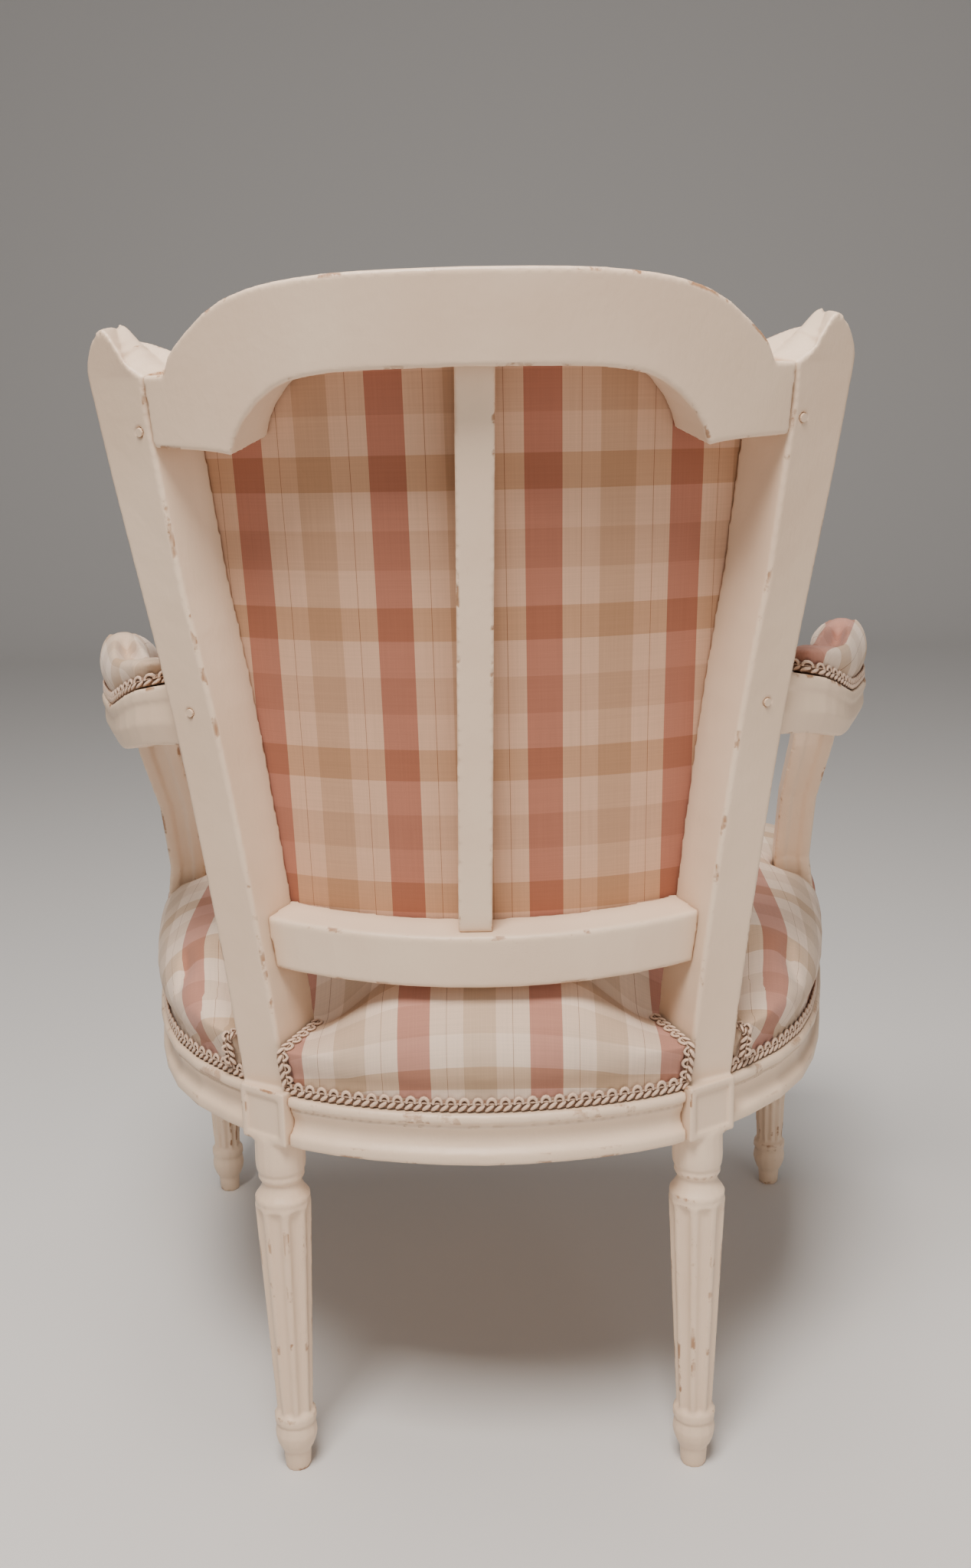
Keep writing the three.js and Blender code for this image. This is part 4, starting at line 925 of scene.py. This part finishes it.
for side, plaid in armCoverValues["plaids"].items():
    name = side.capitalize()
    neighbours = ["arm_" + side, "rear_post_" + side]
    cover = stuffed("armCover" + name, "arm_pad_" + side, armCoverValues, neighbours)
    easePiece(cover, armCoverValues["easing"])
    layCloth(cover, armClothPlaces(getPoints(cover)))
    finishPiece(cover, plaidCloth("armPlaid" + name, plaid), "plaid_cloth", "arm_pad_" + side)
print("stage: arm covers ready")


# gimp braid: one pattern length is modelled, and bent along every edge

braidValues = dict(
    length=19.0 * mm,
    height=12.0 * mm,
    strands=3,
    strandLength=4.1 * mm,
    strandWide=1.625 * mm,
    strandThick=1.3 * mm,
    strandSlant=math.radians(38),
    strandRow=(3.2 * mm, 1.55 * mm),
    loops=2,
    loopRadius=3.1 * mm,
    loopThick=1.2 * mm,
    loopCut=0.4 * mm,
    loopTall=1.28,
    loopRow=(6.3 * mm, 1.35 * mm),
    bandFoot=0.6 * mm,
    bandHeight=8.4 * mm,
    bandThick=0.7 * mm,
    coreRadius=0.8 * mm,
    coreRow=(6.3 * mm, 1.0 * mm),
    # the braid's one colour as lit on its raised threads and as shaded in its hollows: painted highlight and
    # painted shade
    light=(0.82, 0.58, 0.42, 1.0),
    dark=(0.28, 0.15, 0.085, 1.0),
    hollowReach=3.5 * mm,
    fineScale=900.0,
    fineShade=(0.3, 0.7, 0.82, 1.0),
    mottleScale=120.0,
    mottle=(0.5, 0.72),
    raised=(0.30, 0.78, 0.38, 1.0),
    shadeToHighlight=(0.26, 0.84),
    twists=250.0,
    relief=(0.35, 0.4 * mm),
)


def gimpThread():
    values = braidValues
    nodes = Nodes("gimpThread")
    place = nodes.objectPlace()
    # painted shade in the braid's hollows, by ambient occlusion, with a random mottle
    hollow = nodes.add("AmbientOcclusion", samples=6, Distance=values["hollowReach"])
    fine = nodes.fade(nodes.noise(place, values["fineScale"], 2.0), *values["fineShade"])
    mottled = nodes.math("MULTIPLY", nodes.noise(place, values["mottleScale"], 2.0), values["mottle"][0])
    shade = nodes.math("MULTIPLY", hollow.outputs["AO"], nodes.math("ADD", mottled, values["mottle"][1]))
    # painted highlight: the raised threads lighter than the low ground
    lift = nodes.add("Attribute", attribute_name="braidLift").outputs["Fac"]
    shade = nodes.math("MULTIPLY", shade, nodes.fade(lift, *values["raised"]))
    shade = nodes.fade(shade, *values["shadeToHighlight"])
    # the colour runs from the dark value in painted shade to the light value in painted highlight
    colour = nodes.mix("MIX", shade, values["dark"], values["light"])
    waves = nodes.add("TexWave", wave_type="BANDS", bands_direction="DIAGONAL", Distortion=2.0,
                      Scale=values["twists"], Vector=place)
    return nodes.surface(
        Base_Color=nodes.mix("MULTIPLY", 1.0, colour, fine), Roughness=0.62, Sheen_Weight=0.25,
        Normal=nodes.bump(waves.outputs["Fac"], *values["relief"]),
    )


gimp = gimpThread()


def takeShape(place):
    # the active mesh as points and faces, each point placed in the pattern, and the mesh put away
    piece = bpy.context.object
    points, faces = shapeOf(piece)
    bpy.data.objects.remove(piece)
    return np.stack(place(*points.T), 1), faces


def strand(turn):
    # a slanted thread of the lower edge
    values = braidValues
    bpy.ops.mesh.primitive_uv_sphere_add(segments=8, ring_count=6, radius=1.0)
    editMode()
    bpy.ops.transform.rotate(value=math.pi / 2, orient_axis="Y", center_override=(0, 0, 0))
    size = (values["strandLength"], values["strandWide"], values["strandThick"])
    bpy.ops.transform.resize(value=size, center_override=(0, 0, 0))
    objectMode()
    cosine, sine = math.cos(values["strandSlant"]), math.sin(values["strandSlant"])
    along = (turn + 0.5) * values["length"] / values["strands"]
    up, out = values["strandRow"]
    return takeShape(lambda x, y, z: (x * cosine - y * sine + along, x * sine + y * cosine + up, z + out))


def scallop(turn):
    # a loop of the upper edge, open at its foot
    values = braidValues
    bpy.ops.mesh.primitive_torus_add(
        major_segments=12, minor_segments=5,
        major_radius=values["loopRadius"], minor_radius=values["loopThick"],
    )
    editMode("SELECT")
    bpy.ops.mesh.bisect(plane_co=(0, -values["loopCut"], 0), plane_no=(0, 1, 0), clear_inner=True)
    objectMode()
    along = (turn + 0.5) * values["length"] / values["loops"]
    up, out = values["loopRow"]
    return takeShape(lambda x, y, z: (x + along, y * values["loopTall"] + up, z + out))


def band():
    # the woven ground behind strands and loops
    values = braidValues
    bpy.ops.mesh.primitive_grid_add(x_subdivisions=5, y_subdivisions=2, size=1.0)
    editMode()
    bpy.ops.mesh.extrude_region_move(TRANSFORM_OT_translate={"value": upright})
    objectMode()
    return takeShape(lambda x, y, z: (
        (x + 0.5) * values["length"],
        (y + 0.5) * values["bandHeight"] + values["bandFoot"],
        z * values["bandThick"],
    ))


def core():
    # a thin cord along the middle
    values = braidValues
    bpy.ops.mesh.primitive_cylinder_add(
        vertices=6, radius=values["coreRadius"], depth=values["length"], end_fill_type="NOTHING",
    )
    editMode("SELECT")
    bpy.ops.mesh.subdivide(number_cuts=3)
    objectMode()
    up, out = values["coreRow"]
    return takeShape(lambda x, y, z: (z + values["length"] / 2, x + up, y + out))


deselectAll()
shapes = [strand(turn) for turn in range(braidValues["strands"])]
shapes += [scallop(turn) for turn in range(braidValues["loops"])]
patternPoints, patternFaces = joined(shapes + [band(), core()])


def bentBraid(places, upward, outward, closed, height):
    # the pattern repeated along a line, each place with its own upward and outward
    length = braidValues["length"]
    rows = [places, upward, outward]
    if closed:
        rows = [np.vstack([row, row[:1]]) for row in rows]
    steps = lengthsAlong(rows[0])
    count = max(1, int(round(steps[-1] / length)))
    stretch = height / braidValues["height"]
    repeats = []
    for turn in range(count):
        along = (turn + patternPoints[:, 0] / length) * steps[-1] / count
        if closed:
            along = np.mod(along, steps[-1])
        place, up, out = [np.stack([np.interp(along, steps, column) for column in row.T], 1) for row in rows]
        bent = place + up * patternPoints[:, 1:2] * stretch + out * patternPoints[:, 2:3]
        repeats.append((bent, patternFaces))
    return joined(repeats)


def braidPiece(name, strips, nodeName):
    points, faces = joined(strips)
    mesh = bpy.data.meshes.new(name)
    mesh.from_pydata(points.tolist(), [], faces)
    mesh.update()
    piece = linked(name, mesh)
    # how far each point stands out of the pattern, for the braid's painted highlight on its raised threads
    raised = np.resize(patternPoints[:, 2] / patternPoints[:, 2].max(), len(points))
    mesh.attributes.new("braidLift", "FLOAT", "POINT").data.foreach_set("value", raised)
    makeActive(piece)
    editMode("SELECT")
    bpy.ops.mesh.normals_make_consistent(inside=False)
    objectMode()
    bpy.ops.object.shade_smooth()
    finishPiece(piece, gimp, "gimp", nodeName)


# the braid round the seat, broken where the posts and the supports stand

seatBraidValues = dict(
    inset=5.7 * mm,
    lift=0.4 * mm,
    gap=0.8 * mm,
    testRise=8 * mm,
    step=1.5 * mm,
    leastPlaces=21,
    smoothing=4,
    middle=(0.0, -40 * mm),
    rearFrom=200 * mm,
    rearHalf=100 * mm,
    frontFrom=-250 * mm,
)


def seatRuns():
    values = seatBraidValues
    tree = solidTree(postNodes)
    line = resample(seatLine - seatOutward * values["inset"], values["step"], True)
    height = curveValues["railTop"] + values["testRise"]
    free = np.array([depthIn(tree, (x, y, height)) > values["gap"] for x, y in line])
    start = np.flatnonzero(free & ~np.roll(free, 1))[0]
    line, free = np.roll(line, -start, 0), np.roll(free, -start)
    cuts = np.flatnonzero(np.diff(free)) + 1
    runs = zip(np.split(line, cuts), np.split(free, cuts))
    return [run for run, isFree in runs if isFree[0] and len(run) >= values["leastPlaces"]]


def seatStrip(run):
    values = seatBraidValues
    line = smoothed(run, values["smoothing"], False)
    along = headings(line, False)
    outward = np.column_stack([along[:, 1], -along[:, 0], np.zeros(len(line))])
    outward *= np.sign((outward[:, :2] * (line - values["middle"])).sum(1))[:, None]
    height = np.full(len(line), curveValues["railTop"] + values["lift"])
    upward = np.tile(upright, (len(line), 1))
    return bentBraid(np.column_stack([line, height]), upward, outward, False, braidValues["height"])


riserValues = dict(
    height=10 * mm,
    centre=6.0 * mm,
    start=(-7 * mm, 1.5 * mm),
    rise=31 * mm,
    top=34 * mm,
    reach=49 * mm,
    wallPlaces=12,
    topPlaces=16,
    topBend=0.8,
    footShare=0.42,
    standOff=0.3 * mm,
)
coverTree = searchTree([seatCover])


def stileEdge(height, inner):
    values = curveValues
    share = (height - values["backFoot"]) / values["backHeight"]
    spread = np.interp(share, values["stileRises"], values["stileSpreads"])
    return values["stileFootX"] + values["stileSplay"] * spread - (values["stileWidth"] if inner else 0)


def riserStrip(sideSign, inner):
    # up the stile's side on the cover's rear wall, then forward over its shoulder
    values = riserValues
    away = -1 if inner else 1
    back, foot = values["start"]
    route = [(back, foot + values["rise"] * share) for share in np.linspace(0, 1, values["wallPlaces"])]
    for share in np.linspace(0, 1, values["topPlaces"])[1:]:
        onTop = (values["top"] - values["rise"]) * share ** values["topBend"]
        route.append((back + (values["reach"] - back) * share, foot + values["rise"] + onTop))
    places, normals = [], []
    for deep, rise in route:
        height = curveValues["dieTop"] + rise
        across = stileEdge(height, inner) + away * values["centre"]
        spot = onBack(*np.array([[across], [deep], [height]]))[0] * (sideSign, 1, 1)
        found, normal, index, distance = coverTree.find_nearest(Vector(spot))
        places.append((spot[0], found[1], found[2]))
        normals.append(normal[:])
    places = smoothed(places, 3, False)
    normals = smoothed(normals, 6, False)
    along = headings(places, False)
    sideways = np.tile([sideSign * away, 0.0, 0.0], (len(places), 1))
    sideways = unit(sideways - along * (sideways * along).sum(1)[:, None])
    outward = np.cross(along, sideways)
    outward *= np.sign((outward * normals).sum(1))[:, None]
    base = places - sideways * braidValues["height"] * values["footShare"] + outward * values["standOff"]
    return bentBraid(base, sideways, outward, False, values["height"])


def seatBraids():
    values = seatBraidValues
    groups = {"rear": [], "left": [], "right": [], "front": []}
    for run in seatRuns():
        middle = run[len(run) // 2]
        if middle[1] > values["rearFrom"] and abs(middle[0]) < values["rearHalf"]:
            groups["rear"].append(seatStrip(run))
        elif run[:, 1].min() < values["frontFrom"]:
            groups["front"].append(seatStrip(run))
        else:
            groups["left" if middle[0] > 0 else "right"].append(seatStrip(run))
    for sideName, sideSign in (("left", 1), ("right", -1)):
        groups["rear"].append(riserStrip(sideSign, True))
        groups[sideName].append(riserStrip(sideSign, False))
    for name, strips in groups.items():
        braidPiece("seatBraid" + name.capitalize(), strips, "seat_braid_" + name)


seatBraids()


# the braid round each arm cover and round the inside back

edgeBraidValues = dict(
    step=2 * mm,
    innerStep=1 * mm,
    sunk=2.2 * mm,
    armSmoothing=4,
    armLift=0.3 * mm,
    armHeight=9.5 * mm,
    backSmoothing=3,
    backTurnSmoothing=4,
    backDrop=0.5 * mm,
    backHeight=11 * mm,
)


def sharpLoops(nodeName, passes):
    # closed lines of edges between two kinds of face, longest first
    shape = bmesh.new()
    shape.from_mesh(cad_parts[nodeName].data)
    bmesh.ops.remove_doubles(shape, verts=shape.verts, dist=hair)
    links = {}
    for edge in shape.edges:
        if len(edge.link_faces) == 2:
            first, second = [face.normal for face in edge.link_faces]
            if passes(first, second) or passes(second, first):
                low, high = edge.verts
                links.setdefault(low.index, []).append(high.index)
                links.setdefault(high.index, []).append(low.index)
    shape.verts.ensure_lookup_table()
    loops = []
    while links:
        loop, here = [], next(iter(links))
        while here is not None:
            loop.append(shape.verts[here].co[:])
            onward = links.pop(here)
            here = next((index for index in onward if index in links), None)
        loops.append(np.array(loop))
    shape.free()
    return sorted(loops, key=lambda loop: -lengthsAlong(loop)[-1])


def armBraid(side):
    values = edgeBraidValues
    loops = sharpLoops("arm_braid_" + side, lambda low, wall: low.z < -0.7 and abs(wall.z) < 0.5)
    line = smoothed(resample(loops[0], values["step"], True), values["armSmoothing"], True)
    upward = np.tile(upright, (len(line), 1))
    outward = unit(np.cross(headings(line, True), upward))
    if ((line - line.mean(0)) * outward).sum() < 0:
        outward = -outward
    base = line - outward * values["sunk"] + upward * values["armLift"]
    strip = bentBraid(base, upward, outward, True, values["armHeight"])
    braidPiece("armBraid" + side.capitalize(), [strip], "arm_braid_" + side)


def backBraid():
    values = edgeBraidValues
    loops = sharpLoops("back_braid", lambda face, wall: face.y < -0.75 and wall.y > -0.5)
    outer = smoothed(resample(loops[0], values["step"], True), values["backSmoothing"], True)
    inner = resample(loops[1], values["innerStep"], True)
    nearest = np.array([inner[np.argmin(np.linalg.norm(inner - spot, axis=1))] for spot in outer])
    upward = smoothed(unit(outer - nearest), values["backTurnSmoothing"], True)
    outward = unit(np.cross(headings(outer, True), upward))
    outward *= np.sign(-outward[:, 1])[:, None]
    base = nearest - outward * values["sunk"] - upward * values["backDrop"]
    strip = bentBraid(base, upward, outward, True, values["backHeight"])
    braidPiece("backBraid", [strip], "back_braid")


armBraid("left")
armBraid("right")
backBraid()
print("stage: braids ready")


# jute webbing and beech blocks under the seat

webbingValues = dict(
    jute=(0.36, 0.23, 0.11, 1.0),
    darkJute=(0.20, 0.12, 0.055, 1.0),
    threads=620.0,
    slubScale=260.0,
    weaveShare=0.55,
    slubShare=0.5,
    relief=(0.6, 0.8 * mm),
)


def juteWeb(name, alongX):
    values = webbingValues
    nodes = Nodes(name)
    place = nodes.objectPlace()
    x, y, z = nodes.add("SeparateXYZ", Vector=place).outputs
    along, across = (x, y) if alongX else (y, x)
    turn = 2 * math.pi * values["threads"]
    first = nodes.math("SINE", nodes.math("MULTIPLY", along, turn * 0.5))
    second = nodes.math("SINE", nodes.math("MULTIPLY", across, turn))
    weave = nodes.math("ADD", nodes.math("MULTIPLY", nodes.math("MULTIPLY", first, second), 0.5), 0.5)
    weave = nodes.math("MULTIPLY", weave, values["weaveShare"])
    slub = nodes.math("MULTIPLY", nodes.noise(place, values["slubScale"], 3.0), values["slubShare"])
    shade = nodes.math("ADD", weave, slub)
    return nodes.surface(
        Base_Color=nodes.mix("MIX", nodes.fade(shade, 0.2, 0.8), values["darkJute"], values["jute"]),
        Roughness=0.92, Normal=nodes.bump(shade, *values["relief"]),
    )


blockValues = dict(
    dark=(0.42, 0.24, 0.12, 1.0),
    light=(0.60, 0.40, 0.22, 1.0),
    grainTurn=math.radians(38),
    grainStretch=(14.0, 190.0, 190.0),
    fleckShade=(0.45, 0.75, 1.0, 0.8),
    relief=(0.2, 0.6 * mm),
)


def bareBeech():
    values = blockValues
    nodes = Nodes("bareBeech")
    grain = nodes.stretched(nodes.objectPlace(), values["grainStretch"], values["grainTurn"])
    lines = nodes.noise(grain, 1.0, 4.0, 0.6, 0.4)
    flecks = nodes.fade(nodes.noise(grain, 5.0, 2.0), *values["fleckShade"])
    body = nodes.mix("MIX", nodes.fade(lines, 0.3, 0.7), values["dark"], values["light"])
    return nodes.surface(
        Base_Color=nodes.mix("MULTIPLY", 1.0, body, flecks), Roughness=0.68,
        Normal=nodes.bump(lines, *values["relief"]),
    )


for prefix, count, alongX in (("web_cross_", 4, True), ("web_long_", 6, False)):
    jute = juteWeb("juteAcross" if alongX else "juteAlong", alongX)
    for number in range(1, count + 1):
        dress(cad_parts[prefix + str(number)], jute)
beech = bareBeech()
for nodeName in bothSides("rear_block", "front_block"):
    dress(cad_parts[nodeName], beech)
print("stage: webbing and blocks ready")


# floor, light and camera, with sizes in metres

studioValues = dict(
    floorColour=(0.74, 0.72, 0.70, 1.0),
    floorSize=8.0,
    floorPlace=(0.0, -1.5, 0.0),
    wallHeight=5.0,
    coveWidth=1.2,
    airColour=(0.85, 0.83, 0.82, 1.0),
    airStrength=0.22,
    lights=(
        # name, place, target, size, power and colour
        ("keyLight", (0.25, 1.3, 2.6), (0.0, 0.15, 0.45), (0.9, 0.8), 84, (1.0, 0.945, 0.89)),
        ("fillLight", (-1.6, 2.2, 1.2), (0.0, 0.0, 0.5), (1.8, 1.6), 13, (1.0, 0.93, 0.87)),
        ("topLight", (0.1, 0.15, 2.9), (0.0, 0.0, 0.4), (1.2, 1.0), 26, (1.0, 0.965, 0.93)),
    ),
    cameraPlace=(-0.0224, 1.1618, 0.779),
    yaw=math.radians(1.08),
    pitch=math.radians(13.45),
    roll=math.radians(-1.26),
    focalPixels=1899.8,
    pictureHeight=2048.0,
    shiftPixels=6.9,
)


def studioFloor():
    values = studioValues
    deselectAll()
    bpy.ops.mesh.primitive_plane_add(size=values["floorSize"], location=values["floorPlace"])
    floor = bpy.context.object
    floor.name = "studioFloor"
    editMode("DESELECT")
    objectMode()
    for edge in floor.data.edges:
        edge.select = all(floor.data.vertices[index].co.y < 0 for index in edge.vertices)
    editMode()
    bpy.ops.mesh.select_mode(type="EDGE")
    bpy.ops.mesh.extrude_region_move(TRANSFORM_OT_translate={"value": (0, 0, values["wallHeight"])})
    objectMode()
    modify(floor, "cove", "BEVEL", width=values["coveWidth"], segments=12)
    applyAll(floor)
    bpy.ops.object.shade_smooth()
    nodes = Nodes("paleFloor")
    dress(floor, nodes.surface(Base_Color=values["floorColour"], Roughness=0.7))


def softLight(name, place, target, size, power, colour):
    lamp = bpy.data.lights.new(name, "AREA")
    lamp.shape = "RECTANGLE"
    lamp.size, lamp.size_y = size
    lamp.energy = power
    lamp.color = colour
    holder = linked(name, lamp)
    holder.location = place
    holder.rotation_euler = (Vector(target) - Vector(place)).to_track_quat("-Z", "Y").to_euler()


def cameraAtPhoto():
    values = studioValues
    yaw, pitch, roll = values["yaw"], values["pitch"], values["roll"]
    ahead = Vector((math.sin(yaw) * math.cos(pitch), -math.cos(yaw) * math.cos(pitch), -math.sin(pitch)))
    level = ahead.cross(Vector(upright)).normalized()
    above = level.cross(ahead)
    right = math.cos(roll) * level + math.sin(roll) * above
    up = -math.sin(roll) * level + math.cos(roll) * above
    lens = bpy.data.cameras.new("photoCamera")
    holder = linked("photoCamera", lens)
    turned = Matrix((right, up, -ahead)).transposed().to_4x4()
    holder.matrix_world = Matrix.Translation(values["cameraPlace"]) @ turned
    lens.sensor_width = 36.0
    lens.lens = values["focalPixels"] * lens.sensor_width / values["pictureHeight"]
    lens.shift_y = values["shiftPixels"] / values["pictureHeight"]
    lens.clip_start = 10 * mm
    bpy.context.scene.camera = holder


studioFloor()
for light in studioValues["lights"]:
    softLight(*light)
world = bpy.data.worlds.new("studioAir")
world.use_nodes = True
air = world.node_tree.nodes["Background"]
air.inputs[0].default_value = studioValues["airColour"]
air.inputs[1].default_value = studioValues["airStrength"]
bpy.context.scene.world = world
cameraAtPhoto()
print("stage: studio ready")
